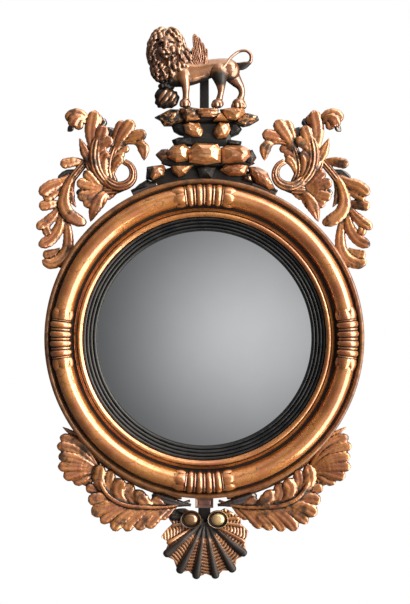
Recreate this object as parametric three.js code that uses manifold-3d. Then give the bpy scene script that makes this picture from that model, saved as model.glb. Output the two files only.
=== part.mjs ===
// Convex butler's mirror: a round gilt frame with an ebonised reeded slip and a convex glass,
// a crest of stacked rocks with a winged lion, pierced acanthus sprays, and a shell pendant.
// Millimetres, +Z up. The wall is the plane y = 0, and the glass faces -Y.
// A depth is a distance forward of the wall, so y = -depth.

import * as THREE from 'three';
import { mergeVertices } from 'three/addons/utils/BufferGeometryUtils.js';
import Module from 'manifold-3d';

const wasm = await Module();
wasm.setup();

// ---------- driving sizes ----------
const seatGap = 0.3; // between pieces that touch
const runningGap = 0.3; // round a screw or wire that something turns on
const roundSteps = 36; // facets round the frame

const glassSight = 406; // a 16 inch sight
const glassRebate = 8.5; // how far the slip laps the glass
const glassSagitta = 22;
const glassThickness = 4;
const glassEdgeDepth = 30;
const cushionWidth = 10;

const slipWidth = 25.5;
const slipLip = 2.2;
const slipRise = 9;
const reedCount = 4;
const reedHeight = 2;
const slipFlange = 12;
const slipFlangeFront = 33;

const frameOuter = 600;
const frameBackDepth = 12;
const innerBeadRadius = 6.8;
const innerBeadDepth = 46;
const torusRadius = 16.4;
const torusDepth = 50;
const torusSteps = 6; // facets over the torus
const outerBeadRadius = 4.8;
const outerBeadDepth = 46;
const innerCoveWidth = 9.6;
const outerCoveWidth = 5.6;
const coveDepth = 43;
const backboardRebate = 6;
const backboardLap = 20; // beyond the slip's flange

const battenBottomWidth = 24;
const battenTopWidth = 17;
const battenBelowShellHinge = 58;
const battenAbovePlinth = 74.5;

// ---------- sizes that follow ----------
const frameRadius = frameOuter / 2;
const sightRadius = glassSight / 2;
const glassRadius = sightRadius + glassRebate;
const slipRadius = sightRadius + slipWidth;
const frameBore = slipRadius + seatGap;
const flangeRadius = slipRadius + slipFlange;
// The members of the moulding keep their proportions in the width that is left for them.
const drawnMoulding = 2 * (innerBeadRadius + torusRadius + outerBeadRadius) + innerCoveWidth + outerCoveWidth;
const mouldingFit = (frameRadius - frameBore) / drawnMoulding;
const innerBead = innerBeadRadius * mouldingFit;
const roll = torusRadius * mouldingFit;
const outerBead = outerBeadRadius * mouldingFit;
const innerCove = innerCoveWidth * mouldingFit;
const outerCove = outerCoveWidth * mouldingFit;
const innerBeadCentre = frameBore + innerBead;
const outerBeadCentre = frameRadius - outerBead;
const torusCentre = frameBore + 2 * innerBead + innerCove + roll;
const backboardRadius = flangeRadius + backboardLap * mouldingFit;
const landWidth = frameRadius - backboardRadius - seatGap;
const backboardFront = frameBackDepth + backboardRebate - seatGap;
const slipBack = frameBackDepth + backboardRebate;
const battenFront = frameBackDepth - seatGap;
const landRadius = (backboardRadius + seatGap + frameRadius) / 2;

const baseHeight = 25;
const slabHeight = 37.5;
const neckHeight = 37;
const topHeight = 31;
const baseFloor = frameRadius;
const slabFloor = baseFloor + baseHeight;
const neckFloor = slabFloor + slabHeight;
const topFloor = neckFloor + neckHeight;
const plinthTop = topFloor + topHeight;

const tabWidth = 34;
const tabHeight = 18;
const tabFront = 44;
const shellRadius = 88;
const shellGap = 6.6; // bare batten between the tab and the shell
const shellTopDraw = 0.55; // how far the top is drawn in towards the hinge
const fluteRise = 4;
const shellTop = -frameRadius - tabHeight - shellGap;
const shellCentre = shellTop - (shellRadius + fluteRise) * (1 - shellTopDraw);

const battenBottom = shellCentre - battenBelowShellHinge;
const battenTop = plinthTop + battenAbovePlinth;
const beyond = frameOuter; // past every piece, for cutting tools

// ---------- solids ----------
function signedVolume(position, index) {
  const a = new THREE.Vector3();
  const b = new THREE.Vector3();
  const c = new THREE.Vector3();
  let total = 0;
  for (let i = 0; i < index.length; i += 3) {
    a.fromBufferAttribute(position, index[i]);
    b.fromBufferAttribute(position, index[i + 1]);
    c.fromBufferAttribute(position, index[i + 2]);
    total += a.dot(b.cross(c));
  }
  return total / 6;
}

// A closed geometry becomes a solid that faces outward.
function solid(source) {
  const open = source.clone();
  open.deleteAttribute('normal');
  open.deleteAttribute('uv');
  const merged = mergeVertices(open, 1e-4);
  const index = Array.from(merged.index.array);
  const kept = [];
  for (let i = 0; i < index.length; i += 3) {
    const [a, b, c] = index.slice(i, i + 3);
    if (a !== b && b !== c && c !== a) kept.push(a, b, c);
  }
  if (signedVolume(merged.attributes.position, kept) < 0) kept.reverse();
  return new wasm.Manifold(new wasm.Mesh({
    numProp: 3,
    vertProperties: new Float32Array(merged.attributes.position.array),
    triVerts: new Uint32Array(kept),
  }));
}

function geometryOf(body) {
  const mesh = body.getMesh();
  const geometry = new THREE.BufferGeometry();
  geometry.setAttribute('position', new THREE.BufferAttribute(new Float32Array(mesh.vertProperties), 3));
  geometry.setIndex(new THREE.BufferAttribute(new Uint32Array(mesh.triVerts), 1));
  geometry.computeVertexNormals();
  return geometry;
}

function joined(solids) {
  return solids.reduce((sum, next) => sum.add(next));
}

// Lobes that meet can close off a hollow between them, so hollows are filled with wood.
function filled(body) {
  return joined(body.decompose().filter((shell) => shell.volume() > 0));
}

// Joined lobes and limbs leave slivers where they cross, which are smoothed off.
const sliver = 0.6;

function cleaned(body) {
  return body.asOriginal().simplify(sliver);
}

// Rings of points, joined side to side and closed by fans at both ends.
function loft(rings, hub = 0) {
  const count = rings[0].length;
  const index = [];
  for (let r = 0; r + 1 < rings.length; r += 1) {
    for (let i = 0; i < count; i += 1) {
      const a = r * count + i;
      const b = r * count + ((i + 1) % count);
      index.push(a, b, a + count, b, b + count, a + count);
    }
  }
  const last = (rings.length - 1) * count;
  for (let i = 1; i + 1 < count; i += 1) {
    const a = (hub + i) % count;
    const b = (hub + i + 1) % count;
    index.push(hub, b, a, last + hub, last + a, last + b);
  }
  const geometry = new THREE.BufferGeometry().setFromPoints(rings.flat());
  geometry.setIndex(index);
  return solid(geometry);
}

// Rings of points joined side to side, the last to the first.
function closedLoft(rings) {
  const count = rings[0].length;
  const index = [];
  rings.forEach((ring, r) => {
    const next = ((r + 1) % rings.length) * count;
    for (let i = 0; i < count; i += 1) {
      const j = (i + 1) % count;
      index.push(r * count + i, r * count + j, next + i, r * count + j, next + j, next + i);
    }
  });
  const geometry = new THREE.BufferGeometry().setFromPoints(rings.flat());
  geometry.setIndex(index);
  return solid(geometry);
}

// A profile of [radius, depth] turned round the mirror's axis.
function turned(profile, steps = roundSteps) {
  const points = profile.map(([radius, depth]) => new THREE.Vector2(radius, -depth));
  return solid(new THREE.LatheGeometry(points, steps));
}

// How far a facet of the turned pieces lies inside its true circle at this angle.
function facet(degrees) {
  const half = 180 / roundSteps;
  const past = ((degrees % (2 * half)) + 2 * half) % (2 * half);
  return Math.cos(THREE.MathUtils.degToRad(half)) / Math.cos(THREE.MathUtils.degToRad(past - half));
}

// A round bar along the depth, at [x, z].
function bar([x, z], radius, back, front, sides = 6) {
  const rod = new THREE.CylinderGeometry(radius, radius, front - back, sides);
  rod.translate(x, -(front + back) / 2, z);
  return solid(rod);
}

function block(x0, x1, z0, z1, back, front) {
  const box = new THREE.BoxGeometry(x1 - x0, front - back, z1 - z0);
  box.translate((x0 + x1) / 2, -(front + back) / 2, (z0 + z1) / 2);
  return solid(box);
}

function ball(centre, radii, across = 10, around = 8) {
  const sphere = new THREE.SphereGeometry(1, across, around);
  sphere.scale(...radii);
  sphere.translate(...centre);
  return solid(sphere);
}

function mirrored(body) {
  return body.mirror([1, 0, 0]);
}

const gold = { color: 0xc98f4d, roughness: 0.42, metalness: 0.75 };
const shadowGold = { color: 0x4a2f20, roughness: 0.6, metalness: 0.3 };
const ebony = { color: 0x24262a, roughness: 0.35, metalness: 0.0 };
const silvering = { color: 0x8f9092, roughness: 0.05, metalness: 0.95 };
const softwood = { color: 0x6b4a33, roughness: 0.8, metalness: 0.0 };
const brassware = { color: 0xb08d4f, roughness: 0.35, metalness: 0.9 };
const steelware = { color: 0x8a8c90, roughness: 0.4, metalness: 0.9 };
const felt = { color: 0x2e3b30, roughness: 0.95, metalness: 0.0 };

const mirror = new THREE.Group();

function piece(name, body, finish) {
  const mesh = new THREE.Mesh(geometryOf(body), new THREE.MeshStandardMaterial(finish));
  mesh.name = name;
  mirror.add(mesh);
  return mesh;
}

// ---------- glass, slip and back ----------
const glassCurve = (glassRadius ** 2 + glassSagitta ** 2) / (2 * glassSagitta);
const glassApex = glassEdgeDepth + glassSagitta;

function glassFront(radius) {
  return glassApex - glassCurve + Math.sqrt(glassCurve ** 2 - radius ** 2);
}

function makeGlass() {
  const rings = 3;
  const profile = [];
  for (let i = 0; i <= rings; i += 1) {
    const radius = (glassRadius * i) / rings;
    profile.push([radius, glassFront(radius)]);
  }
  for (let i = rings; i >= 0; i -= 1) {
    const radius = (glassRadius * i) / rings;
    profile.push([radius, glassFront(radius) - glassThickness]);
  }
  return turned(profile);
}

// Reeds climb from the sight edge to the frame as a row of half rounds.
function makeSlip() {
  const sightFront = glassFront(sightRadius) + seatGap + slipLip;
  const seat = glassRadius + seatGap;
  const profile = [
    [seat, slipBack],
    [flangeRadius, slipBack],
    [flangeRadius, slipFlangeFront - seatGap],
    [slipRadius, slipFlangeFront - seatGap],
    [slipRadius, sightFront + slipRise],
  ];
  const run = (slipRadius - sightRadius) / reedCount;
  for (let reed = 0; reed < reedCount; reed += 1) {
    const start = slipRadius - reed * run;
    const rise = sightFront + slipRise * (1 - reed / reedCount);
    const fall = slipRise / reedCount;
    profile.push([start - run * 0.5, rise - fall * 0.5 + reedHeight]);
    if (reed + 1 < reedCount) profile.push([start - run, rise - fall]);
  }
  profile.push([sightRadius, sightFront]);
  profile.push([sightRadius, glassFront(sightRadius) + seatGap]);
  profile.push([seat, glassFront(glassRadius) + seatGap]);
  profile.push([seat, slipBack]);
  return turned(profile);
}

function makeCushion() {
  const outer = glassRadius - seatGap;
  const inner = outer - cushionWidth;
  const front = glassEdgeDepth - glassThickness - seatGap;
  return turned([[inner, slipBack], [outer, slipBack], [outer, front], [inner, front], [inner, slipBack]]);
}

function makeBackboard() {
  return turned([
    [0, frameBackDepth],
    [backboardRadius, frameBackDepth],
    [backboardRadius, backboardFront],
    [0, backboardFront],
  ]);
}

// ---------- hardware places ----------
const screwShank = 2;
const screwHead = 4;
const screwHeadThickness = 2;
const screwBite = 12; // into the frame
const screwHole = screwShank + runningGap;

const buttonAngles = [35, 145, 215, 325];
const buttonLength = 38;
const buttonWidth = 13;
const buttonThickness = 3.5;
const buttonFront = frameBackDepth - seatGap;
const buttonBack = buttonFront - buttonThickness;

const strapAngle = 10;
const strapWidth = 12;
const strapHeight = 34;
const strapThickness = 1.5;
const strapScrewPitch = 18;
const wireRadius = 1.4;
const knuckleRadius = 2.9;
const loopHalfWidth = 10;
const loopDrop = 22;

function onRing(radius, degrees) {
  const angle = THREE.MathUtils.degToRad(degrees);
  return [radius * Math.cos(angle), radius * Math.sin(angle)];
}

const buttonPlaces = buttonAngles.map((angle) => onRing(landRadius, angle));
const [strapX, strapZ] = onRing(landRadius, strapAngle);
const strapScrewPlaces = [];
for (const side of [-1, 1]) {
  for (const row of [0, 1]) strapScrewPlaces.push([side * strapX, strapZ + row * strapScrewPitch]);
}
const battenScrewRadii = [landRadius - landWidth / 4, landRadius + landWidth / 4];
const battenScrewPlaces = [];
for (const end of [1, -1]) {
  for (const radius of battenScrewRadii) battenScrewPlaces.push([0, end * radius]);
}
const screwTip = frameBackDepth + screwBite;

// ---------- frame ring ----------
function arc(centreRadius, centreDepth, radius, fromDegrees, toDegrees, steps) {
  const points = [];
  for (let i = 0; i <= steps; i += 1) {
    const angle = THREE.MathUtils.degToRad(fromDegrees + ((toDegrees - fromDegrees) * i) / steps);
    points.push([centreRadius + radius * Math.cos(angle), centreDepth + radius * Math.sin(angle)]);
  }
  return points;
}

const backChamfer = 4;
const coveFloor = 0.3; // where a cove is deepest, as a share of its width from the torus

function makeFrame() {
  const start = [backboardRadius + seatGap, frameBackDepth];
  const profile = [
    start,
    [frameRadius - backChamfer, frameBackDepth],
    [frameRadius, frameBackDepth + backChamfer],
    ...arc(outerBeadCentre, outerBeadDepth, outerBead, 0, 180, 3),
    [torusCentre + roll + outerCove * coveFloor, coveDepth],
    ...arc(torusCentre, torusDepth, roll, 0, 180, torusSteps),
    [torusCentre - roll - innerCove * coveFloor, coveDepth],
    ...arc(innerBeadCentre, innerBeadDepth, innerBead, 0, 180, 3),
    [frameBore, slipFlangeFront],
    [flangeRadius + seatGap, slipFlangeFront],
    [flangeRadius + seatGap, slipBack],
    [backboardRadius + seatGap, slipBack],
    start,
  ];
  let body = turned(profile);
  for (const place of [...buttonPlaces, ...strapScrewPlaces, ...battenScrewPlaces]) {
    body = body.subtract(bar(place, screwHole, frameBackDepth - 1, screwTip + seatGap));
  }
  return body;
}

// ---------- reeded collars ----------
const collarHalfAngle = 12.3;
const collarCapAngle = 4.2;
const collarRibs = 4;
const collarWall = 1.6;
const ribHeight = 1.7;
const collarEase = 0.25; // clear of the corners of the torus's facets

function makeCollar(degrees) {
  const around = torusSteps;
  const inner = roll + seatGap + collarEase;
  const ribHalf = collarHalfAngle - collarCapAngle;
  const stations = [-1, -0.82];
  for (let i = 0; i <= collarRibs * 2; i += 1) stations.push((-1 + i / collarRibs) * (ribHalf / collarHalfAngle));
  stations.push(0.82, 1);
  const rings = stations.map((share, number) => {
    const onRib = number > 1 && number < stations.length - 2 && number % 2 === 1;
    const atTip = number === 0 || number === stations.length - 1;
    const outer = inner + (atTip ? 0.6 : collarWall) + (onRib ? ribHeight : 0);
    const ring = [];
    for (const [radius, flip] of [[outer, false], [inner, true]]) {
      for (let i = 0; i <= around; i += 1) {
        const turn = Math.PI * (flip ? 1 - i / around : i / around);
        const notch = atTip ? 1 - 0.14 * Math.abs(Math.sin(2 * turn)) : 1;
        const angle = degrees + share * notch * collarHalfAngle;
        const [x, z] = onRing((torusCentre + radius * Math.cos(turn)) * facet(angle), angle);
        ring.push(new THREE.Vector3(x, -(torusDepth + radius * Math.sin(turn)), z));
      }
    }
    return ring;
  });
  return collarLoft(rings, around);
}

// A C-shaped section can't be closed by a fan, so its ends are closed as strips.
function collarLoft(rings, around) {
  const count = rings[0].length;
  const index = [];
  for (let r = 0; r + 1 < rings.length; r += 1) {
    for (let i = 0; i < count; i += 1) {
      const a = r * count + i;
      const b = r * count + ((i + 1) % count);
      index.push(a, b, a + count, b, b + count, a + count);
    }
  }
  const last = (rings.length - 1) * count;
  for (let i = 0; i < around; i += 1) {
    const inside = count - 1 - i;
    index.push(i, inside, i + 1, inside, inside - 1, i + 1);
    index.push(last + i, last + i + 1, last + inside, last + inside, last + i + 1, last + inside - 1);
  }
  const geometry = new THREE.BufferGeometry().setFromPoints(rings.flat());
  geometry.setIndex(index);
  return solid(geometry);
}

// ---------- back fittings ----------
function makeBatten() {
  const half = (z) => {
    const share = (z - battenBottom) / (battenTop - battenBottom);
    return (battenBottomWidth * (1 - share) + battenTopWidth * share) / 2;
  };
  const corner = (side, z, depth) => new THREE.Vector3(side * half(z), -depth, z);
  const ring = (z) => [corner(-1, z, 0), corner(1, z, 0), corner(1, z, battenFront), corner(-1, z, battenFront)];
  let body = loft([ring(battenBottom), ring(battenTop)]);
  for (const place of battenScrewPlaces) {
    body = body.subtract(bar(place, screwHole, -1, battenFront + 1));
    body = body.subtract(bar(place, screwHead + seatGap, -1, screwHeadThickness + 1 + seatGap));
  }
  return body;
}

function makeScrew(place, headBack, tip) {
  const head = bar(place, screwHead, headBack, headBack + screwHeadThickness);
  return head.add(bar(place, screwShank, headBack + 1, tip, 5));
}

function makeButton(place, degrees) {
  const half = buttonWidth / 2;
  const outline = new THREE.Shape();
  outline.absarc(0, 0, half, Math.PI / 2, (3 * Math.PI) / 2);
  outline.lineTo(buttonLength - half - 3, -half);
  outline.quadraticCurveTo(buttonLength - half, 0, buttonLength - half - 3, half);
  const plate = new THREE.ExtrudeGeometry(outline, { depth: buttonThickness, bevelEnabled: false, curveSegments: 3 });
  plate.rotateX(Math.PI / 2);
  plate.rotateY(-THREE.MathUtils.degToRad(degrees));
  plate.translate(place[0], -buttonBack, place[1]);
  return solid(plate).subtract(bar(place, screwHole, 0, frameBackDepth));
}

const knuckleDepth = buttonFront - knuckleRadius;
const knuckleDrop = 8;

function makeStrap(side) {
  const x = side * strapX;
  const knuckleZ = strapZ - knuckleDrop;
  const plate = block(x - strapWidth / 2, x + strapWidth / 2, knuckleZ, strapZ + strapHeight - knuckleDrop,
    buttonFront - strapThickness, buttonFront);
  const barrel = new THREE.CylinderGeometry(knuckleRadius, knuckleRadius, strapWidth, 10);
  barrel.rotateZ(Math.PI / 2);
  barrel.translate(x, -knuckleDepth, knuckleZ);
  const bore = new THREE.CylinderGeometry(wireRadius + runningGap, wireRadius + runningGap, strapWidth + 2, 10);
  bore.rotateZ(Math.PI / 2);
  bore.translate(x, -knuckleDepth, knuckleZ);
  let body = plate.add(solid(barrel)).subtract(solid(bore));
  for (const row of [0, 1]) {
    body = body.subtract(bar([x, strapZ + row * strapScrewPitch], screwHole, 0, frameBackDepth));
  }
  return body;
}

// A wire loop: straight through the knuckle, then a D below it.
function makeLoop(side) {
  const bend = 8;
  const sides = 6;
  const corner = loopHalfWidth;
  const path = [[-corner, 0]];
  for (let i = 0; i <= bend; i += 1) {
    const angle = Math.PI + (Math.PI * i) / bend;
    path.push([corner * Math.cos(angle), corner - loopDrop + corner * Math.sin(angle)]);
  }
  path.push([corner, 0]);
  const corners = path.map(([px, pz]) => new THREE.Vector2(px, pz));
  const rings = corners.map((here, number) => {
    const arriving = here.clone().sub(corners[(number + corners.length - 1) % corners.length]).normalize();
    const leaving = corners[(number + 1) % corners.length].clone().sub(here).normalize();
    const along = arriving.add(leaving).normalize();
    const mitre = 1 / along.dot(leaving);
    const ring = [];
    for (let i = 0; i < sides; i += 1) {
      const angle = (2 * Math.PI * i) / sides;
      const reach = wireRadius * Math.cos(angle) * mitre;
      ring.push(new THREE.Vector3(
        side * strapX + here.x + along.y * reach,
        -knuckleDepth + wireRadius * Math.sin(angle),
        strapZ - knuckleDrop + here.y - along.x * reach,
      ));
    }
    return ring;
  });
  return closedLoft(rings);
}

const bumperAngles = [232, 308];
const bumperRadius = 9;

// ---------- rocks ----------
// Each rock is [centre x, centre z above the tier's floor, width, height, tilt, front depth].
const rockBack = frameBackDepth;

const baseRocks = [
  [0, 6, 150, 40, 0, 34],
  [-87, 11, 32, 32, 6, 52],
  [-42, 14, 48, 24, -4, 54],
  [2, 12, 42, 22, 3, 42],
  [56, 14, 58, 26, 3, 56],
  [108, 2, 58, 24, -40, 50],
];
const slabRocks = [
  [0, 9, 166, 22, 0, 40],
  [-81, 19, 30, 26, -16, 44],
  [-49, 21, 48, 34, 5, 58],
  [0, 19, 66, 41, 0, 62],
  [59, 21, 60, 35, -3, 60],
  [88, 16, 24, 28, 12, 46],
];
const neckRocks = [
  [3, 7, 135, 15, 0, 44],
  [5, 26, 90, 30, 0, 38],
  [-21, 26, 42, 26, -5, 54],
  [33, 26, 36, 28, 6, 54],
  [-45, 27, 36, 28, 10, 38],
  [57, 27, 28, 28, -8, 38],
];
const topRocks = [
  [-2, 15, 164, 18, 0, 38],
  [-65, 17, 60, 26, 10, 46],
  [-27, 19, 44, 26, -3, 54],
  [48, 20, 62, 24, 3, 58],
  [78, 13, 50, 24, -9, 46],
];

// An eight-cornered block, uneven from its place in the row, with a bevelled face.
function makeRock([x, z, width, height, tilt, front], number) {
  const face = 5;
  const bevel = 3.5;
  const turn = THREE.MathUtils.degToRad(tilt);
  const cut = (corner) => 0.18 + 0.12 * Math.sin(corner * 2.1 + number * 1.7);
  const corners = [];
  [[1, 1], [-1, 1], [-1, -1], [1, -1]].forEach(([sx, sz], corner) => {
    const across = cut(corner);
    const down = cut(corner + 4) * 1.3;
    const first = [sx * (0.5 - across), sz * 0.5];
    const second = [sx * 0.5, sz * (0.5 - down)];
    corners.push(...(sx * sz > 0 ? [second, first] : [first, second]));
  });
  const ring = (inset, depth) => corners.map(([u, v]) => {
    const dx = u * (width - inset * 2);
    const dz = v * (height - inset * 2);
    return new THREE.Vector3(
      x + dx * Math.cos(turn) - dz * Math.sin(turn),
      -depth,
      z + dx * Math.sin(turn) + dz * Math.cos(turn),
    );
  });
  return loft([ring(0, rockBack), ring(0, front - face), ring(bevel, front)]);
}

function makeTier(rocks, floor, height) {
  const body = joined(rocks.map(makeRock)).translate([0, 0, floor]);
  return body.intersect(block(-beyond, beyond, floor + seatGap, floor + height, 0, beyond));
}

function frameClearance(radius = frameRadius + seatGap) {
  return turned([[0, 0], [radius, 0], [radius, beyond], [0, beyond]]);
}

function makeBaseTier() {
  const body = joined(baseRocks.map(makeRock)).translate([0, 0, baseFloor]);
  const [volute] = scrollLobes;
  const voluteRoom = makeLobe({ ...volute, from: volute.from + voluteEase, to: volute.to + voluteEase }, true);
  const footRoom = makeFoot(scrollFoot, seatGap).add(voluteRoom);
  const tier = body.intersect(block(-beyond, beyond, 0, slabFloor, 0, beyond)).subtract(frameClearance());
  return tier.subtract(footRoom).subtract(mirrored(footRoom));
}

const tabletBack = 40;
const tabletFront = 62;
const tabletWidth = 40;
const tabletHeight = 23;

function tabletBody(grow) {
  const half = tabletWidth / 2 + grow;
  const top = tabletHeight + grow;
  const corner = 6;
  const outline = (inset) => [
    [-half + inset, corner], [-half + corner, inset - grow], [half - corner, inset - grow], [half - inset, corner],
    [half - inset, top - corner], [half - corner, top - inset], [-half + corner, top - inset],
    [-half + inset, top - corner],
  ];
  const ring = (inset, depth) => outline(inset).map(([x, z]) => new THREE.Vector3(x + 6, -depth, z));
  return loft([ring(0, tabletBack - grow), ring(0, tabletFront - 5 + grow), ring(4, tabletFront + grow)])
    .translate([0, 0, plinthTop - tabletHeight]);
}

function makeTopTier() {
  return makeTier(topRocks, topFloor, topHeight).subtract(tabletBody(seatGap));
}

// ---------- lion ----------
const lionDepth = 36;
const lionFloor = plinthTop + seatGap;
const boulderRadius = 25;
const boulderPlace = [-70, 20];

// A limb or body through [x, depth, z, half width, half height] stations.
function limb(stations, sides = 8) {
  const rings = stations.map((station, number) => {
    const before = stations[Math.max(0, number - 1)];
    const after = stations[Math.min(stations.length - 1, number + 1)];
    const along = new THREE.Vector3(after[0] - before[0], before[1] - after[1], after[2] - before[2]).normalize();
    const side = new THREE.Vector3(0, 1, 0);
    side.addScaledVector(along, -along.y).normalize();
    const up = new THREE.Vector3().crossVectors(side, along);
    const [x, depth, z, halfWidth, halfHeight] = station;
    const ring = [];
    for (let i = 0; i < sides; i += 1) {
      const angle = (2 * Math.PI * i) / sides;
      const point = new THREE.Vector3(x, -(lionDepth + depth), z);
      point.addScaledVector(side, halfWidth * Math.cos(angle));
      point.addScaledVector(up, halfHeight * Math.sin(angle));
      ring.push(point);
    }
    return ring;
  });
  return loft(rings);
}

const wingMiddle = lionDepth + 2.5; // between the two wings
const wingSpacing = 21;
const wingBack = wingMiddle + wingSpacing / 2;
const wingThickness = 6;
const farWingFront = wingMiddle - wingSpacing / 2;
const wingRoot = [-3, 72];
const wingRootHalf = 4.5;
const wingNotch = 5; // between the feathers' tips
const wingEase = 1; // round a wing in the lion's flank
// Each feather's tip: its angle, and its distance from the wing's root.
const wingTips = [[64, 24], [78, 35], [90, 49], [97, 66], [104, 73], [112, 57], [128, 40], [150, 31]];

function wingOutline(grow) {
  const outline = new THREE.Shape();
  const [rootX, rootZ] = wingRoot;
  const point = (angle, reach) => {
    const [x, z] = onRing(reach + grow, angle);
    return [rootX + x, rootZ + z];
  };
  outline.moveTo(rootX + wingRootHalf + grow, rootZ - grow);
  wingTips.forEach(([angle, reach], number) => {
    outline.lineTo(...point(angle, reach));
    const next = wingTips[number + 1];
    if (next) outline.lineTo(...point((angle + next[0]) / 2, Math.min(reach, next[1]) - wingNotch));
  });
  outline.lineTo(rootX - wingRootHalf - grow, rootZ - grow);
  return outline;
}

function makeWing(grow, back, thickness) {
  const plate = new THREE.ExtrudeGeometry(wingOutline(grow), { depth: thickness, bevelEnabled: false });
  plate.rotateX(Math.PI / 2);
  plate.translate(0, -back, lionFloor);
  return solid(plate);
}

// Each limb has [x, depth from the lion's middle, height, half its thickness, half its width].
const lionLimbs = [
  [[64, 0, 74, 9, 9], [50, 0, 77, 14, 17], [20, 2, 76, 14, 17], [-4, 3, 70, 15, 20], [-26, 4, 67, 17, 25], [-62, 6, 75, 17, 26]],
  [[-38, 14, 73, 10, 15], [-39, 17, 57, 10, 12], [-35, 18, 35, 7.5, 8], [-36, 18, 20, 6, 6], [-37, 18, 9, 7, 7]],
  [[-32, 19, 7, 7.5, 7.5], [-47, 22, 6, 6.5, 6]],
  [[-58, -4, 68, 11, 14], [-62, -3, 47, 8, 9], [-68, 2, 43, 7, 7], [-81, 6, 46, 6, 5]],
  [[26, 10, 77, 12, 16], [32, 13, 61, 12, 15], [29, 14, 47, 9, 10], [35, 13, 31, 6.5, 6.5], [31, 14, 12, 7, 6]],
  [[34, 15, 7, 8, 7.5], [17, 19, 6, 6.5, 6]],
  [[50, -4, 77, 11, 15], [58, -6, 63, 10, 13], [64, -7, 49, 8, 9], [72, -8, 36, 6.5, 6.5], [69, -8, 9, 6.5, 6]],
  [[71, -7, 7, 8, 7.5], [54, -4, 6, 6.5, 6]],
];

// The mane, the chest, the face and the muzzle: [x, depth, height] and the half sizes.
const lionMasses = [
  [[-71, 0, 107], [38, 26, 54], 10, 8],
  [[-50, 2, 74], [29, 25, 26], 8, 6],
  [[-70, 23, 113], [15, 13, 18], 8, 6],
  [[-73, 32, 103], [9, 7.5, 7], 6, 6],
];

function makeLion() {
  const parts = [
    ...lionLimbs.map((stations) => limb(stations, stations.length > 5 ? 8 : 6)),
    ...lionMasses.map(([[x, depth, z], halves, across, around]) => (
      ball([x, -(lionDepth + depth), z], halves, across, around)
    )),
  ];
  const wingRoom = [wingBack - seatGap, farWingFront + seatGap - beyond];
  let body = cleaned(joined(parts)).translate([0, 0, lionFloor]);
  for (const back of wingRoom) body = body.subtract(makeWing(wingEase, back, beyond));
  body = body.subtract(boulder(seatGap)).subtract(makeTail(seatGap));
  return body.intersect(block(-beyond, beyond, lionFloor, lionFloor + beyond, rockBack, beyond));
}

function boulder(grow) {
  const radius = boulderRadius + grow;
  return ball([boulderPlace[0], -lionDepth, lionFloor + boulderPlace[1]], [radius, radius * 0.9, radius]);
}

function makeBoulder() {
  return boulder(0).intersect(block(-beyond, beyond, lionFloor, lionFloor + beyond, rockBack, beyond));
}

// The tail lies in a groove over the near flank, then curls behind the rump to its tuft.
const tailSweep = [
  [18, 20, 68], [29, 21, 71], [40, 17, 81], [50, 8, 96], [64, 2, 108], [78, 1, 111], [88, 1, 103], [88, 1, 91],
  [80, 1, 84], [66, 1, 79],
];
const tailRadius = 3;
const tuftRadius = 5.5;

function makeTail(grow) {
  const curve = new THREE.CatmullRomCurve3(tailSweep.map((place) => new THREE.Vector3(...place)));
  const steps = 15;
  const stations = curve.getPoints(steps).map((point, number) => {
    const tuft = Math.max(0, Math.sin((Math.PI * (number - steps * 0.75)) / (steps * 0.3)));
    const radius = tailRadius + (tuftRadius - tailRadius) * tuft + grow;
    return [point.x, point.y, point.z, radius, radius];
  });
  return limb(stations, 6).translate([0, 0, lionFloor]);
}

// ---------- acanthus ----------
// The carvings are drawn along the frame's edge. A point is [mm along the edge from the mirror's
// centre line, mm out from the edge]. A lobe is a hollowed tongue on a spine of such points, with
// its half width at the root and where it is widest, its depth at the root and its rise to the tip.
const lobeRim = 0.4; // how far a lobe's edges stand proud, as a share of its half width
const lobeStation = 26; // mm of spine between sections
const widestShare = 0.62;
const shoulderShare = 0.84; // where the tip starts to round off
const bluntTip = 0.5; // half width at the tip, as a share of the widest
const pointedTip = 0.12;
const lobeWood = 3; // wood behind the hollow of the narrowest lobe
const lobeBelly = 0.6; // and how that grows with half width

function fromEdge([along, out], atTop) {
  const turn = along / frameRadius;
  const angle = atTop ? Math.PI / 2 + turn : (3 * Math.PI) / 2 - turn;
  return [(frameRadius + out) * Math.cos(angle), (frameRadius + out) * Math.sin(angle)];
}

function makeLobe({ spine, from, to, depth, rise, pointed }, atTop) {
  const curve = new THREE.CatmullRomCurve3(spine.map((place, number) => {
    const [x, z] = fromEdge(place, atTop);
    return new THREE.Vector3(x, -depth - (rise * number) / (spine.length - 1), z);
  }));
  const steps = Math.max(3, Math.round(curve.getLength() / lobeStation));
  const rings = [];
  for (let i = 0; i <= steps; i += 1) {
    const share = i === steps ? 1 : (shoulderShare * i) / (steps - 1);
    const centre = curve.getPointAt(share);
    const tangent = curve.getTangentAt(share);
    const across = new THREE.Vector3(-tangent.z, 0, tangent.x).normalize();
    const body = from + (to - from) * Math.min(1, share / widestShare);
    const half = i === steps ? to * (pointed ? pointedTip : bluntTip) : body;
    const thickness = lobeWood + lobeBelly * half;
    rings.push([[1, lobeRim * half], [0, 0], [-1, lobeRim * half], [0, -thickness]].map(([side, proud]) => {
      const point = centre.clone().addScaledVector(across, side * half);
      point.y -= proud;
      return point;
    }));
  }
  return loft(rings, 1);
}

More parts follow.
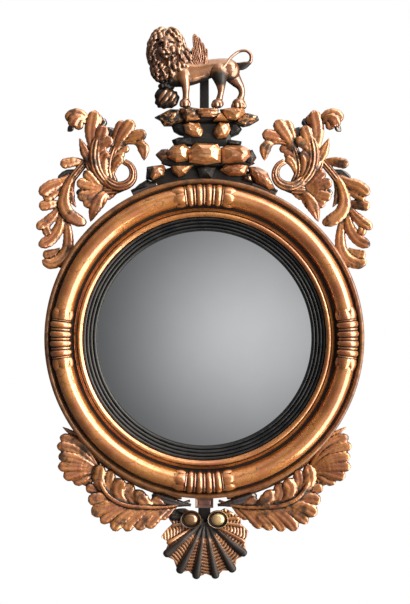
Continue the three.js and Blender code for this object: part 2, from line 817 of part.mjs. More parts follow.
// The scroll's band, the heart leaf and its curled head, the crest leaf, and the fan below.
const scrollLobes = [
  {
    spine: [[131, 66], [123, 56], [121, 41], [128, 29], [141, 24], [154, 29], [163, 42], [167, 58]],
    from: 4.6, to: 8.2, depth: 34, rise: 1,
  },
  {
    spine: [[155, 30], [164, 46], [165, 62], [161, 78], [152, 91], [141, 93]],
    from: 5, to: 9.6, depth: 32, rise: 10,
  },
  {
    spine: [[149, 24], [165, 39], [170, 58], [169, 78], [164, 96], [156, 111], [146, 128]],
    from: 5.6, to: 8.4, depth: 33, rise: 11,
  },
  {
    spine: [[156, 26], [170, 44], [175, 66], [176, 87], [174, 106], [170, 124], [168, 143]],
    from: 5, to: 8.6, depth: 31, rise: 7, pointed: true,
  },
  { spine: [[164, 98], [156, 124], [148, 148], [134, 176]], from: 6.4, to: 11, depth: 36, rise: 7 },
  { spine: [[149, 137], [138, 147], [127, 155]], from: 4.4, to: 7.4, depth: 31, rise: -1 },
  { spine: [[161, 99], [149, 116], [139, 130], [131, 142]], from: 6.2, to: 10.2, depth: 37, rise: 9 },
  { spine: [[145, 118], [133, 124], [123, 134]], from: 4.6, to: 8.5, depth: 33, rise: -1 },
  { spine: [[164, 90], [152, 106], [140, 112], [128, 109]], from: 6, to: 9.4, depth: 37, rise: 7 },
  {
    spine: [[158, 114], [152, 138], [149, 157], [149, 174], [154, 186], [162, 188], [168, 183]],
    from: 6.6, to: 8.8, depth: 36, rise: 10,
  },
  { spine: [[149, 168], [154, 176], [162, 176], [168, 168]], from: 5.2, to: 7.4, depth: 46, rise: 3 },
  {
    spine: [[158, 40], [155, 59], [148, 75], [140, 88], [129, 99], [118, 101], [108, 97], [99, 89]],
    from: 8.6, to: 5.2, depth: 30, rise: 12,
  },
  { spine: [[133, 91], [125, 108], [117, 122], [108, 139]], from: 5.2, to: 7.6, depth: 35, rise: 7 },
  { spine: [[129, 95], [117, 108], [106, 118], [95, 131]], from: 5.8, to: 10.4, depth: 36, rise: 8 },
  { spine: [[123, 99], [110, 101], [98, 101], [83, 100]], from: 5.4, to: 8.8, depth: 36, rise: 8 },
  {
    spine: [[111, 97], [100, 89], [91, 77], [91, 63], [99, 53]],
    from: 5.4, to: 12.4, depth: 38, rise: 6, pointed: true,
  },
  { spine: [[142, 80], [132, 88], [122, 89], [113, 84]], from: 5, to: 6.2, depth: 31, rise: 3 },
  { spine: [[140, 20], [154, 23], [167, 30], [179, 39]], from: 4.4, to: 6.4, depth: 30, rise: 4 },
  { spine: [[174, 36], [182, 52], [185, 70], [187, 88]], from: 5.2, to: 7.6, depth: 32, rise: 8 },
  { spine: [[178, 39], [189, 53], [198, 68], [205, 80]], from: 5.4, to: 10, depth: 33, rise: 9 },
  { spine: [[177, 34], [194, 33], [208, 35], [221, 37]], from: 5.4, to: 10, depth: 32, rise: 8 },
  { spine: [[176, 33], [193, 28], [212, 19], [233, 7]], from: 6.2, to: 11, depth: 33, rise: -1, pointed: true },
];
// The outer branch, its petals and crescent, and the curls that hang beside the frame.
const branchLobes = [
  {
    spine: [[166, 107], [182, 100], [198, 95], [214, 89], [229, 82], [243, 71]],
    from: 7.4, to: 5.6, depth: 28, rise: 0,
  },
  { spine: [[178, 103], [188, 112], [198, 119], [208, 125]], from: 5.4, to: 7.8, depth: 24, rise: 12 },
  { spine: [[207, 97], [224, 100], [238, 108], [256, 111]], from: 6.4, to: 9.6, depth: 26, rise: 14 },
  { spine: [[242, 72], [252, 81], [261, 90], [270, 99]], from: 4.8, to: 8.2, depth: 26, rise: 11 },
  {
    spine: [[197, 96], [216, 88], [232, 77], [242, 65], [249, 48], [248, 31], [243, 19], [237, 12]],
    from: 4.8, to: 10.6, depth: 28, rise: 2,
  },
  { spine: [[245, 74], [261, 68], [278, 69], [291, 74], [297, 71]], from: 3.8, to: 8, depth: 27, rise: 13 },
  { spine: [[247, 70], [262, 54], [279, 44], [300, 44], [319, 57]], from: 4, to: 9.4, depth: 27, rise: 13 },
  {
    spine: [[246, 68], [258, 44], [278, 21], [299, 9], [320, 9], [336, 23], [337, 39]],
    from: 4.4, to: 9.2, depth: 27, rise: 11,
  },
];
const apronLobes = [
  {
    spine: [[26, 9], [57, 23], [93, 34], [129, 45], [155, 47], [176, 41], [193, 29], [204, 10]],
    from: 4.1, to: 7.1, depth: 20, rise: 14,
  },
  { spine: [[153, 46], [174, 40], [194, 30], [205, 6]], from: 5.6, to: 10.5, depth: 32, rise: 8 },
  { spine: [[130, 44], [147, 37], [157, 23], [154, 6]], from: 6, to: 12.5, depth: 32, rise: 6 },
  { spine: [[107, 39], [126, 33], [138, 21], [138, 6]], from: 5.6, to: 10.5, depth: 30, rise: 2 },
  { spine: [[87, 32], [104, 28], [116, 21], [116, 9]], from: 5.6, to: 11.3, depth: 30, rise: 4 },
  { spine: [[143, 47], [162, 52], [176, 63], [186, 76]], from: 5.6, to: 12, depth: 32, rise: 10 },
  { spine: [[112, 41], [135, 56], [147, 79], [153, 98]], from: 5.6, to: 12, depth: 32, rise: 10 },
  { spine: [[99, 36], [119, 55], [131, 82], [133, 101]], from: 5.6, to: 11.5, depth: 32, rise: 8 },
  { spine: [[86, 33], [104, 50], [115, 74], [115, 93]], from: 5.6, to: 12, depth: 32, rise: 6 },
  { spine: [[63, 28], [76, 45], [84, 61], [89, 74]], from: 5.2, to: 11, depth: 28, rise: 6 },
];
const apronFanLobes = [
  { spine: [[206, 17], [241, 3], [275, 6], [304, 17]], from: 4.9, to: 9, depth: 26, rise: -4, pointed: true },
  { spine: [[209, 16], [241, 17], [265, 26], [283, 43]], from: 5.2, to: 11, depth: 28, rise: 10 },
  { spine: [[205, 21], [227, 34], [242, 48], [256, 66]], from: 5.2, to: 11, depth: 28, rise: 12 },
  { spine: [[203, 23], [221, 39], [231, 56], [238, 72]], from: 5.2, to: 11, depth: 28, rise: 10 },
  { spine: [[201, 24], [211, 40], [216, 55], [223, 67]], from: 4.9, to: 8.8, depth: 26, rise: 6 },
];

const footBack = 16;
const voluteEase = 1.5; // round the scroll's end in the rock beside it
const scrollFoot = { along: [89, 162], width: 25, front: 31, atTop: true };
const branchFoot = { along: [290, 335], width: 15, front: 34, atTop: true };
const apronFoot = { along: [42, 262], width: 12, front: 28, atTop: false };

// A strip that hugs the frame's edge and carries a spray on it.
function makeFoot({ along: [start, end], width, front, atTop }, room = 0) {
  const sink = 6; // into the frame, before it is cut to the frame's edge
  const span = 30;
  const steps = Math.ceil((end - start) / span);
  const back = room ? 0 : footBack;
  const rings = [];
  for (let i = 0; i <= steps; i += 1) {
    const along = start - room + ((end - start + 2 * room) * i) / steps;
    rings.push([
      [-sink, back], [width + room, back], [width + room, front + room], [-sink, front + room],
    ].map(([out, depth]) => {
      const [x, z] = fromEdge([along, out], atTop);
      return new THREE.Vector3(x, -depth, z);
    }));
  }
  return loft(rings);
}

function makeSpray(lobes, feet, atTop) {
  const carving = joined([...lobes.map((lobe) => makeLobe(lobe, atTop)), ...feet.map((foot) => makeFoot(foot))]);
  return filled(cleaned(carving).subtract(frameClearance()));
}

function makeScrollSpray() {
  return makeSpray([...scrollLobes, ...branchLobes], [scrollFoot, branchFoot], true);
}

// The apron leaf, its upper fan and the strip that seats them are one carving.
function makeApronLeaf() {
  return makeSpray([...apronLobes, ...apronFanLobes], [apronFoot], false);
}

// ---------- bracket, shell and medallions ----------
function makeTab() {
  const body = block(-tabWidth / 2, tabWidth / 2, -frameRadius - tabHeight, -frameRadius + 6, frameBackDepth, tabFront);
  return body.subtract(frameClearance());
}

const shellBack = frameBackDepth;
const shellRim = 22;
const shellDome = 26;
const fluteAngle = 25.6;
const fluteDepth = 5;

function shellPoint(share, degrees, back) {
  const ridge = Math.cos(THREE.MathUtils.degToRad((360 * (degrees - 270)) / fluteAngle + 180));
  const upper = Math.max(0, Math.sin(THREE.MathUtils.degToRad(degrees)));
  const reach = (shellRadius + fluteRise * ridge) * (1 - shellTopDraw * upper) * share;
  const dome = Math.sqrt(Math.max(0, 1 - share ** 2 * 0.92));
  const front = shellRim + shellDome * dome + fluteDepth * ridge * share;
  const [x, z] = onRing(reach, degrees);
  return new THREE.Vector3(x, -(back ? shellBack : front), z + shellCentre);
}

function makeShell() {
  const steps = 42;
  const rings = [];
  for (const [share, back] of [[0.12, true], [1, true], [1, false], [0.7, false], [0.12, false]]) {
    const ring = [];
    for (let i = 0; i < steps; i += 1) ring.push(shellPoint(share, (360 * i) / steps, back));
    rings.push(ring);
  }
  let body = loft(rings);
  for (const side of [-1, 1]) body = body.subtract(medallion(side, medallionEase, beyond));
  return body.subtract(tabClearance());
}

function tabClearance() {
  const half = tabWidth / 2 + seatGap;
  const low = -frameRadius - tabHeight - seatGap;
  return block(-half, half, low, 0, 0, beyond);
}

const medallionX = 25.5;
const medallionZ = shellTop - 16.4;
const medallionWidth = 41;
const medallionHeight = 34;
const medallionBack = 30;
const medallionRim = 10;
const medallionEase = 1.2; // round a medallion in the shell

function medallion(side, grow, extra) {
  const half = medallionWidth / 2;
  const profile = [
    [0, 0], [half * 0.94, 0], [half, medallionRim * 0.6], [half * 0.86, medallionRim],
    [half * 0.7, medallionRim * 0.5], [half * 0.4, medallionRim * 0.95], [0, medallionRim * 1.15],
  ];
  const plain = [[0, 0], [half + grow, 0], [half + grow, extra], [0, extra]];
  const points = (extra ? plain : profile).map(([radius, rise]) => new THREE.Vector2(radius, -rise));
  const disc = new THREE.LatheGeometry(points, 14);
  const narrow = (medallionHeight / 2 + grow) / (half + grow);
  disc.scale(1, 1, narrow);
  disc.translate(side * medallionX, -(medallionBack - (extra ? seatGap : 0)), medallionZ);
  return solid(disc);
}

// ---------- assembly ----------
piece('frame_ring', makeFrame(), gold);
piece('reeded_slip', makeSlip(), ebony);
piece('convex_glass', makeGlass(), silvering);
piece('glass_cushion', makeCushion(), felt);
piece('backboard', makeBackboard(), softwood);
piece('collar_right', makeCollar(0), gold);
piece('collar_top', makeCollar(90), gold);
piece('collar_left', makeCollar(180), gold);
piece('collar_bottom', makeCollar(270), gold);
piece('spine_batten', makeBatten(), softwood);

buttonPlaces.forEach((place, number) => {
  const name = `turn_button_${number + 1}`;
  piece(name, makeButton(place, buttonAngles[number] + 180), brassware);
  piece(`${name}_screw`, makeScrew(place, buttonBack - screwHeadThickness - seatGap, screwTip), steelware);
});
[['left', -1], ['right', 1]].forEach(([label, side]) => {
  piece(`hanger_strap_${label}`, makeStrap(side), brassware);
  piece(`hanger_ring_${label}`, makeLoop(side), brassware);
});
strapScrewPlaces.forEach((place, number) => {
  const back = buttonFront - strapThickness - screwHeadThickness - seatGap;
  piece(`hanger_screw_${number + 1}`, makeScrew(place, back, screwTip), steelware);
});
battenScrewPlaces.forEach((place, number) => {
  piece(`batten_screw_${number + 1}`, makeScrew(place, 1, screwTip), steelware);
});
bumperAngles.forEach((angle, number) => {
  const pad = bar(onRing(landRadius, angle), bumperRadius, 0.5, frameBackDepth - seatGap, 12);
  piece(`wall_pad_${number + 1}`, pad, felt);
});

piece('plinth_base', makeBaseTier(), shadowGold);
piece('plinth_slab', makeTier(slabRocks, slabFloor, slabHeight), gold);
piece('plinth_neck', makeTier(neckRocks, neckFloor, neckHeight), shadowGold);
piece('plinth_top', makeTopTier(), gold);
piece('plinth_tablet', tabletBody(0), gold);
piece('lion', makeLion(), gold);
piece('lion_wing_near', makeWing(0, wingBack, wingThickness), gold);
piece('lion_wing_far', makeWing(0, farWingFront - wingThickness, wingThickness), gold);
piece('lion_tail', makeTail(0), gold);
piece('lion_boulder', makeBoulder(), shadowGold);

const scrollSpray = makeScrollSpray();
piece('scroll_spray_left', scrollSpray, gold);
piece('scroll_spray_right', mirrored(scrollSpray), gold);
const apronLeaf = makeApronLeaf();
piece('apron_leaf_left', apronLeaf, gold);
piece('apron_leaf_right', mirrored(apronLeaf), gold);
piece('apron_tab', makeTab(), softwood);
piece('shell_pendant', makeShell(), gold);
piece('medallion_left', medallion(-1, 0, 0), gold);
piece('medallion_right', medallion(1, 0, 0), gold);

export default mirror;
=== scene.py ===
import math
import random

import bmesh
import bpy
import numpy as np
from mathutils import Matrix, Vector, noise


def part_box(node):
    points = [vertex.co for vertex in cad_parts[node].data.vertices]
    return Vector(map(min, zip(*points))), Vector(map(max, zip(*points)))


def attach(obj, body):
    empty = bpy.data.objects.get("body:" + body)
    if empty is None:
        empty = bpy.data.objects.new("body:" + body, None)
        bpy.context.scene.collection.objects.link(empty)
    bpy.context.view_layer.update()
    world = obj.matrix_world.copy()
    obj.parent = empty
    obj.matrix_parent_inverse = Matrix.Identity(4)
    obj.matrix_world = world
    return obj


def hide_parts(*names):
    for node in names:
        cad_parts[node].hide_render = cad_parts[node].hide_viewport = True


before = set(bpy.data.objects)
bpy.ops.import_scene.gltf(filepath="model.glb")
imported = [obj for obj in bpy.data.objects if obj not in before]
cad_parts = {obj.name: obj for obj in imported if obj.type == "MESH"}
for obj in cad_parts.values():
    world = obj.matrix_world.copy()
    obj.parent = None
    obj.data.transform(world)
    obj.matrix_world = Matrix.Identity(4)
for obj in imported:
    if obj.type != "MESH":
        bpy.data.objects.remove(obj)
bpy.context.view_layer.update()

MM = 0.001


# ---------- the room it hangs in ----------
# The mirror hangs on a wall at eye height, so the floor lies far below it.
# A soft light stands to the right, and the room in front of the glass is a grey
# studio, palest a little right of the middle.
camera_distance, seen_height, sensor = 2.2, 1.1325, 36
camera_side, camera_height, gilt_front = 0.0013, 0.0686, -0.045
cool_grey, warm_light, paper_white = (0.965, 0.98, 1, 1), (1, 0.93, 0.8, 1), (1, 1, 1, 1)
window_light, ceiling_light = 5, 2.4
key_place, key_aim, key_colour = (1.7, -1.5, 0.7), (0, 0, 0.05), (1, 0.93, 0.82)
floor_size, floor_place = 2.4, (0, -0.2, -1.5)


def linked(name, data):
    """A new object in the scene."""
    made = bpy.data.objects.new(name, data)
    bpy.context.scene.collection.objects.link(made)
    return made


camera = linked("camera", bpy.data.cameras.new("camera"))
camera.location = (camera_side, gilt_front - camera_distance, camera_height)
camera.rotation_euler = (math.radians(90), 0, 0)
camera.data.sensor_width = sensor
camera.data.lens = sensor * camera_distance / seen_height
camera.data.clip_end = 50
bpy.context.scene.camera = camera
bpy.context.scene.view_settings.view_transform = "Standard"


def add(tree, kind, given=None, **settings):
    """One node; `given` holds its inputs by name or number, as sockets or plain values."""
    made = tree.nodes.new(kind)
    for setting, value in settings.items():
        setattr(made, setting, value)
    for socket, value in (given or {}).items():
        if isinstance(value, bpy.types.NodeSocket):
            tree.links.new(value, made.inputs[socket])
        else:
            made.inputs[socket].default_value = value
    return made


def calc(tree, operation, *values):
    """A sum on plain numbers or sockets."""
    return add(tree, "ShaderNodeMath", dict(enumerate(values)), operation=operation).outputs[0]


def times(tree, first, second):
    """One value times another."""
    return calc(tree, "MULTIPLY", first, second)


def plus(tree, first, second):
    """One value plus another."""
    return calc(tree, "ADD", first, second)


def fade(tree, value, start, end, low=0.0, high=1.0):
    """Goes smoothly from low to high as the value goes from start to end."""
    given = {"Value": value, "From Min": start, "From Max": end, "To Min": low, "To Max": high}
    return add(tree, "ShaderNodeMapRange", given, interpolation_type="SMOOTHSTEP").outputs[0]


def tint(tree, share, under, over):
    """Lays the colour `over` on `under` by the share."""
    given = {0: share, 6: under, 7: over}
    return add(tree, "ShaderNodeMix", given, data_type="RGBA").outputs[2]


def blank(name):
    """A material with no nodes, and its tree."""
    material = bpy.data.materials.new(name)
    material.use_nodes = True
    material.node_tree.nodes.clear()
    return material, material.node_tree


def shown_to_camera(tree, shader, colour):
    """What the camera sees is one plain colour, and what all else sees is the shader."""
    plain = add(tree, shader.bl_idname, {"Color": colour, "Strength": 1.0})
    camera_ray = add(tree, "ShaderNodeLightPath").outputs["Is Camera Ray"]
    return add(tree, "ShaderNodeMixShader",
               {0: camera_ray, 1: shader.outputs[0], 2: plain.outputs[0]}).outputs[0]


world = bpy.data.worlds.new("studio")
bpy.context.scene.world = world
world.use_nodes = True
studio = world.node_tree
studio.nodes.clear()
looking = add(studio, "ShaderNodeSeparateXYZ", {0: add(studio, "ShaderNodeTexCoord").outputs["Generated"]})
to_right, to_back, to_top = looking.outputs
from_right = calc(studio, "SUBTRACT", to_right, 0.2)
from_pale = calc(studio, "SQRT", plus(studio, times(studio, from_right, from_right),
                                      times(studio, to_top, to_top)))
front_grey = fade(studio, from_pale, 0, 0.78, 0.6, 0.1)
swing = calc(studio, "ARCTAN2", to_right, times(studio, to_back, -1))
right_window = times(studio, fade(studio, swing, 0.5, 0.62), fade(studio, swing, 1.65, 1.4))
right_window = times(studio, right_window, fade(studio, calc(studio, "ABSOLUTE", to_top), 0.9, 0.75))
ceiling = times(studio, fade(studio, to_top, 0.5, 0.85), fade(studio, to_right, -0.4, 0.3, 0.15, 1))
radiance = plus(studio, front_grey, times(studio, right_window, window_light))
radiance = plus(studio, radiance, times(studio, ceiling, ceiling_light))
window_share = fade(studio, plus(studio, right_window, ceiling), 0, 0.5)
room = add(studio, "ShaderNodeBackground", {
    "Color": tint(studio, window_share, cool_grey, warm_light), "Strength": radiance})
add(studio, "ShaderNodeOutputWorld", {"Surface": shown_to_camera(studio, room, paper_white)})

key_light = linked("key_light", bpy.data.lights.new("key_light", "AREA"))
key_light.data.size = 0.9
key_light.data.energy = 16
key_light.data.color = key_colour
key_light.location = key_place
key_light.rotation_euler = (Vector(key_aim) - Vector(key_place)).to_track_quat("-Z", "Y").to_euler()

bpy.ops.object.select_all(action="DESELECT")
bpy.ops.mesh.primitive_plane_add(size=floor_size, location=floor_place)
floor = bpy.context.object
floor.name = "floor"
floor_paint, floor_tree = blank("floor_paint")
floor_glow = add(floor_tree, "ShaderNodeEmission", {"Color": (1, 0.985, 0.965, 1), "Strength": 0.1})
add(floor_tree, "ShaderNodeOutputMaterial", {"Surface": shown_to_camera(floor_tree, floor_glow, paper_white)})
floor.data.materials.append(floor_paint)


# ---------- frame ring ----------
# Turned pine ring, 600 mm across: inner bead, deep cove, big roll, outer bead. It is
# gessoed, covered with red bole and water-gilt, and the gesso has cracked with age.
ring_steps = 192
ring_radius = 300
bore_radius = 228.8
roll_centre, roll_depth, roll_radius = 268.4, 50, 16.4
inner_bead_centre, inner_bead_depth, inner_bead_radius = 235.6, 46, 6.8
outer_bead_centre, outer_bead_depth, outer_bead_radius = 295.2, 46, 4.8
ring_back, ring_rebate, flange_front = 12, 18, 33
rebate_radius, flange_seat = 260.8, 240.8
edge_round = 1.5


def half_round(centre, depth, radius, start=0, end=180, steps=14):
    """Points (radius, depth) over a bead, from its outer side to its inner side."""
    turns = [math.radians(start + (end - start) * i / steps) for i in range(steps + 1)]
    return [(centre + radius * math.cos(t), depth + radius * math.sin(t)) for t in turns]


def only(piece):
    """Selects one piece alone."""
    bpy.ops.object.select_all(action="DESELECT")
    bpy.context.view_layer.objects.active = piece
    piece.select_set(True)


def edit(piece):
    """Opens one piece alone in edit mode, with all of it selected."""
    only(piece)
    bpy.ops.object.mode_set(mode="EDIT")
    bpy.ops.mesh.select_all(action="SELECT")


def spun(name, profile, steps=ring_steps, smooth=32):
    """Turns a profile of (radius, depth) in mm about the mirror's own axis."""
    mesh = bpy.data.meshes.new(name)
    points = [(r * MM, -d * MM, 0) for r, d in profile]
    mesh.from_pydata(points, [(i, i + 1) for i in range(len(points) - 1)], [])
    made = linked(name, mesh)
    edit(made)
    bpy.ops.mesh.spin(steps=steps, angle=math.tau, center=(0, 0, 0), axis=(0, 1, 0))
    bpy.ops.mesh.select_all(action="SELECT")
    bpy.ops.mesh.remove_doubles(threshold=2e-5)
    bpy.ops.mesh.normals_make_consistent(inside=False)
    bpy.ops.object.mode_set(mode="OBJECT")
    bpy.ops.object.shade_smooth_by_angle(angle=math.radians(smooth))
    return made


ring_profile = [(rebate_radius, ring_back), (ring_radius - edge_round, ring_back),
                (ring_radius, ring_back + edge_round)]
ring_profile += half_round(outer_bead_centre, outer_bead_depth, outer_bead_radius)
ring_profile += [(289.4, 43.6), (288.6, 42.6), (287.2, 42.6), (285.6, 43.4), (284.9, 45.4)]
ring_profile += half_round(roll_centre, roll_depth, roll_radius, 4, 176, 36)
ring_profile += [(251.4, 45.2), (250.2, 42.4), (248, 41), (245.6, 41.2), (243.6, 42.6), (243, 44.4)]
ring_profile += half_round(inner_bead_centre, inner_bead_depth, inner_bead_radius, 0, 62, 6)[1:]
ring_profile += [(238.4, 50.2)] + half_round(234, 49.4, 3.9, 20, 150, 9)
ring_profile += [(230.2, 50.2), (bore_radius, 48.6), (bore_radius, flange_front), (flange_seat, flange_front)]
ring_profile += [(flange_seat, ring_rebate), (rebate_radius, ring_rebate), (rebate_radius, ring_back)]
ring = spun("frame_ring_gilt", ring_profile)


def store(piece, name, values):
    """Keeps one number for each vertex, for the finish to read."""
    kept = piece.data.attributes
    marks = kept[name] if name in kept else kept.new(name, "FLOAT", "POINT")
    marks.data.foreach_set("value", np.asarray(values, np.float32))


def stored(piece, name):
    """The numbers kept under a name."""
    values = np.zeros(len(piece.data.attributes[name].data))
    piece.data.attributes[name].data.foreach_get("value", values)
    return values


def corners_of(piece):
    """The places of all its vertices, in metres."""
    co = np.zeros(len(piece.data.vertices) * 3)
    piece.data.vertices.foreach_get("co", co)
    return co.reshape(-1, 3)


ring_at = corners_of(ring) / MM
ring_reach = np.hypot(ring_at[:, 0], ring_at[:, 2])
ring_front = -ring_at[:, 1]
# The coves and the groove by the inner bead are marked as hollows, so the finish paints shade in them; the
# outer bead is marked a little darker.
ring_hollow = np.full(len(ring_at), 0.42)
ring_hollow[(ring_reach > 245) & (ring_reach < 251.8) & (ring_front < 43)] = 0.74
ring_hollow[(ring_reach > 284.5) & (ring_reach < 289) & (ring_front < 45.5)] = 0.86
ring_hollow[ring_reach > 289.2] = 0.595
ring_hollow[(ring_reach > 237) & (ring_reach < 240) & (ring_front > 49)] = 0.62
store(ring, "hollow", ring_hollow)


def cloud(tree, at, scale, detail=2, rough=0.5):
    """A cloudy pattern between 0 and 1."""
    given = {"Vector": at, "Scale": scale, "Detail": detail, "Roughness": rough}
    return add(tree, "ShaderNodeTexNoise", given).outputs[0]


def age_cracks(tree, place, wander, patches):
    """Cracks in the gesso, between plates that follow the ring round, deep only in patches."""
    turn = calc(tree, "ARCTAN2", place[2], place[0])
    reach = calc(tree, "SQRT", plus(tree, times(tree, place[0], place[0]), times(tree, place[2], place[2])))
    sway = times(tree, wander, 0.5)
    along = add(tree, "ShaderNodeCombineXYZ", {
        0: plus(tree, times(tree, turn, 13), sway),
        1: plus(tree, times(tree, reach, 62), sway),
        2: times(tree, place[1], 62)})
    plates = add(tree, "ShaderNodeTexVoronoi", {"Vector": along.outputs[0], "Scale": 1.0},
                 feature="DISTANCE_TO_EDGE")
    crack = fade(tree, plates.outputs["Distance"], 0.03, 0.006)
    return times(tree, crack, fade(tree, patches, 0.4, 0.56, 0.12, 1))


def finished(material, given, height, strength, relief):
    """Ends a material with its shader and its bump, whose relief is in mm."""
    tree = material.node_tree
    bump = add(tree, "ShaderNodeBump", {"Strength": strength, "Distance": relief * MM, "Height": height})
    shader = add(tree, "ShaderNodeBsdfPrincipled", {**given, "Normal": bump.outputs[0]})
    add(tree, "ShaderNodeOutputMaterial", {"Surface": shader.outputs[0]})
    return material


def gilding(name, leaf=(0.76, 0.3, 0.07), ridge_highlight=0.6, patina=0.0, streaked=False, cloud_size=14,
            bole=(0.26, 0.05, 0.016), wax_and_shade=(0.01, 0.005, 0.0035), back_shade=(13, 30), worn=0.5,
            cracked=False):
    """Water gilding: leaf over red bole, rubbed on the ridges, with a painted highlight of paler leaf there;
    dark in the hollows and where it lies further back, partly toning and partly painted shade.
    """
    material, tree = blank(name)
    at = add(tree, "ShaderNodeTexCoord").outputs["Object"]
    place = add(tree, "ShaderNodeSeparateXYZ", {0: at}).outputs
    broad = cloud(tree, at, cloud_size, 3, 0.6)
    mottle = cloud(tree, at, 75, 5, 0.65)
    grain = cloud(tree, at, 520, 3, 0.6)
    hollow = add(tree, "ShaderNodeAttribute", attribute_name="hollow").outputs["Fac"]
    pale_leaf = (*(min(1, c * k) for c, k in zip(leaf, (1.15, 1.6, 2.6))), 1)
    dull_leaf = (*(c * k for c, k in zip(leaf, (0.66, 0.52, 0.5))), 1)
    colour = tint(tree, fade(tree, broad, 0.36, 0.62), dull_leaf, (*leaf, 1))
    colour = tint(tree, fade(tree, mottle, 0.5, 0.74, 0, 0.3), colour, pale_leaf)
    # Painted highlight: the ridges are laid over with paler leaf.
    ridge = fade(tree, hollow, 0.44, 0.14)
    colour = tint(tree, times(tree, ridge, ridge_highlight), colour, pale_leaf)
    rub = plus(tree, fade(tree, mottle, 0.53, 0.3), times(tree, ridge, 0.25))
    rub = times(tree, rub, fade(tree, grain, 0.4, 0.6, 0.75, 1))
    rub = times(tree, calc(tree, "MINIMUM", rub, 1.0), worn)
    colour = tint(tree, rub, colour, (*bole, 1))
    # Dark in the hollows: partly toning wax, partly painted shade.
    toned_and_shaded = fade(tree, plus(tree, hollow, times(tree, mottle, 0.14)), 0.57, 0.72)
    # Painted shade on parts that lie further back.
    depth = plus(tree, times(tree, place[1], -1000), times(tree, broad, 6))
    dark = calc(tree, "MAXIMUM", toned_and_shaded, fade(tree, depth, back_shade[1] + 3, back_shade[0] + 3))
    if patina:
        stretch = (0.55, 1, 4) if streaked else (1, 1, 1)
        run = add(tree, "ShaderNodeMapping", {"Vector": at, "Scale": stretch}).outputs[0]
        dark = calc(tree, "MAXIMUM", dark, fade(tree, cloud(tree, run, 38, 4, 0.6), 0.5, 0.68, 0, patina))
    height = plus(tree, times(tree, mottle, 0.5), times(tree, grain, 0.22))
    if cracked:
        crack = age_cracks(tree, place, mottle, broad)
        dark = calc(tree, "MAXIMUM", dark, times(tree, crack, 0.8))
        height = calc(tree, "SUBTRACT", height, times(tree, crack, 0.7))
    return finished(material, {
        "Base Color": tint(tree, dark, colour, (*wax_and_shade, 1)),
        "Metallic": times(tree, calc(tree, "SUBTRACT", 1.0, times(tree, rub, 0.5)),
                          calc(tree, "SUBTRACT", 0.55, times(tree, dark, 0.5))),
        "Roughness": plus(tree, fade(tree, mottle, 0.3, 0.7, 0.32, 0.24), times(tree, dark, 0.3)),
        "Coat Weight": calc(tree, "SUBTRACT", 0.9, times(tree, dark, 0.86)),
        "Coat Roughness": 0.13, "Coat IOR": 2.1}, height, 0.2, 0.5)


def dress(piece, finish, *nodes, slot="gilt_wood"):
    """Gives a piece its finish, and sets it in place of its plain solids."""
    piece.data.materials.clear()
    piece.data.materials.append(finish)
    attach(piece, "root")
    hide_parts(*nodes)


ring_gilding = gilding("ring_gilding", worn=0.42, back_shade=(12, 38), cracked=True)
dress(ring, ring_gilding, "frame_ring")


# ---------- ebonised slip ----------
# Turned ring in the frame's bore, stained black and polished: four fine reeds climb
# from the glass to the gilt bead, and their crowns are paler, partly worn and partly a painted highlight.
slip_sight, slip_radius, flange_radius, glass_radius = 203, 228.5, 240.5, 211.5
glass_bulge, glass_edge_depth, glass_thickness = 22, 30, 4
seat_gap = 0.3
glass_curve = (glass_radius ** 2 + glass_bulge ** 2) / (2 * glass_bulge)


def glass_front(radius):
    """Depth of the glass's front at a radius."""
    return glass_edge_depth + glass_bulge - glass_curve + math.sqrt(glass_curve ** 2 - radius ** 2)


sight_front = glass_front(slip_sight) + 2.5
slip_rise, reeds = 9, 4
reed_run = (slip_radius - slip_sight) / reeds
glass_seat = glass_radius + seat_gap
slip_profile = [(glass_seat, ring_rebate), (flange_radius, ring_rebate),
                (flange_radius, flange_front - seat_gap), (slip_radius, flange_front - seat_gap)]
for reed in range(reeds):
    outer = slip_radius - reed * reed_run
    level = sight_front + slip_rise * (1 - reed / reeds)
    slip_profile.append((outer, level - 1.2))
    for step in range(9):
        turn = math.pi * (0.06 + 0.88 * step / 8)
        slip_profile.append((outer - reed_run * (0.5 - 0.42 * math.cos(turn)),
                             level - 1.1 - 1.0 * step / 8 + 2.3 * math.sin(turn)))
    slip_profile.append((outer - reed_run * 0.97, level - 2.9))
slip_profile += [(slip_sight, sight_front - 0.6), (slip_sight, glass_front(slip_sight) + seat_gap),
                 (glass_seat, glass_front(glass_radius) + seat_gap), (glass_seat, ring_rebate)]
slip = spun("reeded_slip_black", slip_profile, smooth=50)
slip_at = corners_of(slip) / MM
slip_reach = np.hypot(slip_at[:, 0], slip_at[:, 2])
reed_place = ((slip_radius - slip_reach) / reed_run) % 1
store(slip, "crown", np.clip(1 - np.abs(reed_place - 0.42) / 0.3, 0, 1)
      * (slip_reach < slip_radius) * (-slip_at[:, 1] > flange_front))


def ebony_polish():
    """Black stain and polish, thinner and paler on the crown of each reed: partly wear, partly a painted
    highlight.
    """
    material, tree = blank("ebonised_polish")
    at = add(tree, "ShaderNodeTexCoord").outputs["Object"]
    crown = add(tree, "ShaderNodeAttribute", attribute_name="crown").outputs["Fac"]
    scuff = cloud(tree, at, 42, 5, 0.65)
    # Paler crowns: partly wear, partly a painted highlight.
    wear_and_highlight = times(tree, calc(tree, "POWER", crown, 2.5), fade(tree, scuff, 0.36, 0.66, 0.15, 0.8))
    return finished(material, {
        "Base Color": tint(tree, wear_and_highlight, (0.005, 0.0055, 0.007, 1), (0.075, 0.078, 0.085, 1)),
        "Roughness": fade(tree, scuff, 0.3, 0.7, 0.22, 0.4), "IOR": 1.5}, cloud(tree, at, 420), 0.2, 0.4)


dress(slip, ebony_polish(), "reeded_slip", slot="ebonised_wood")


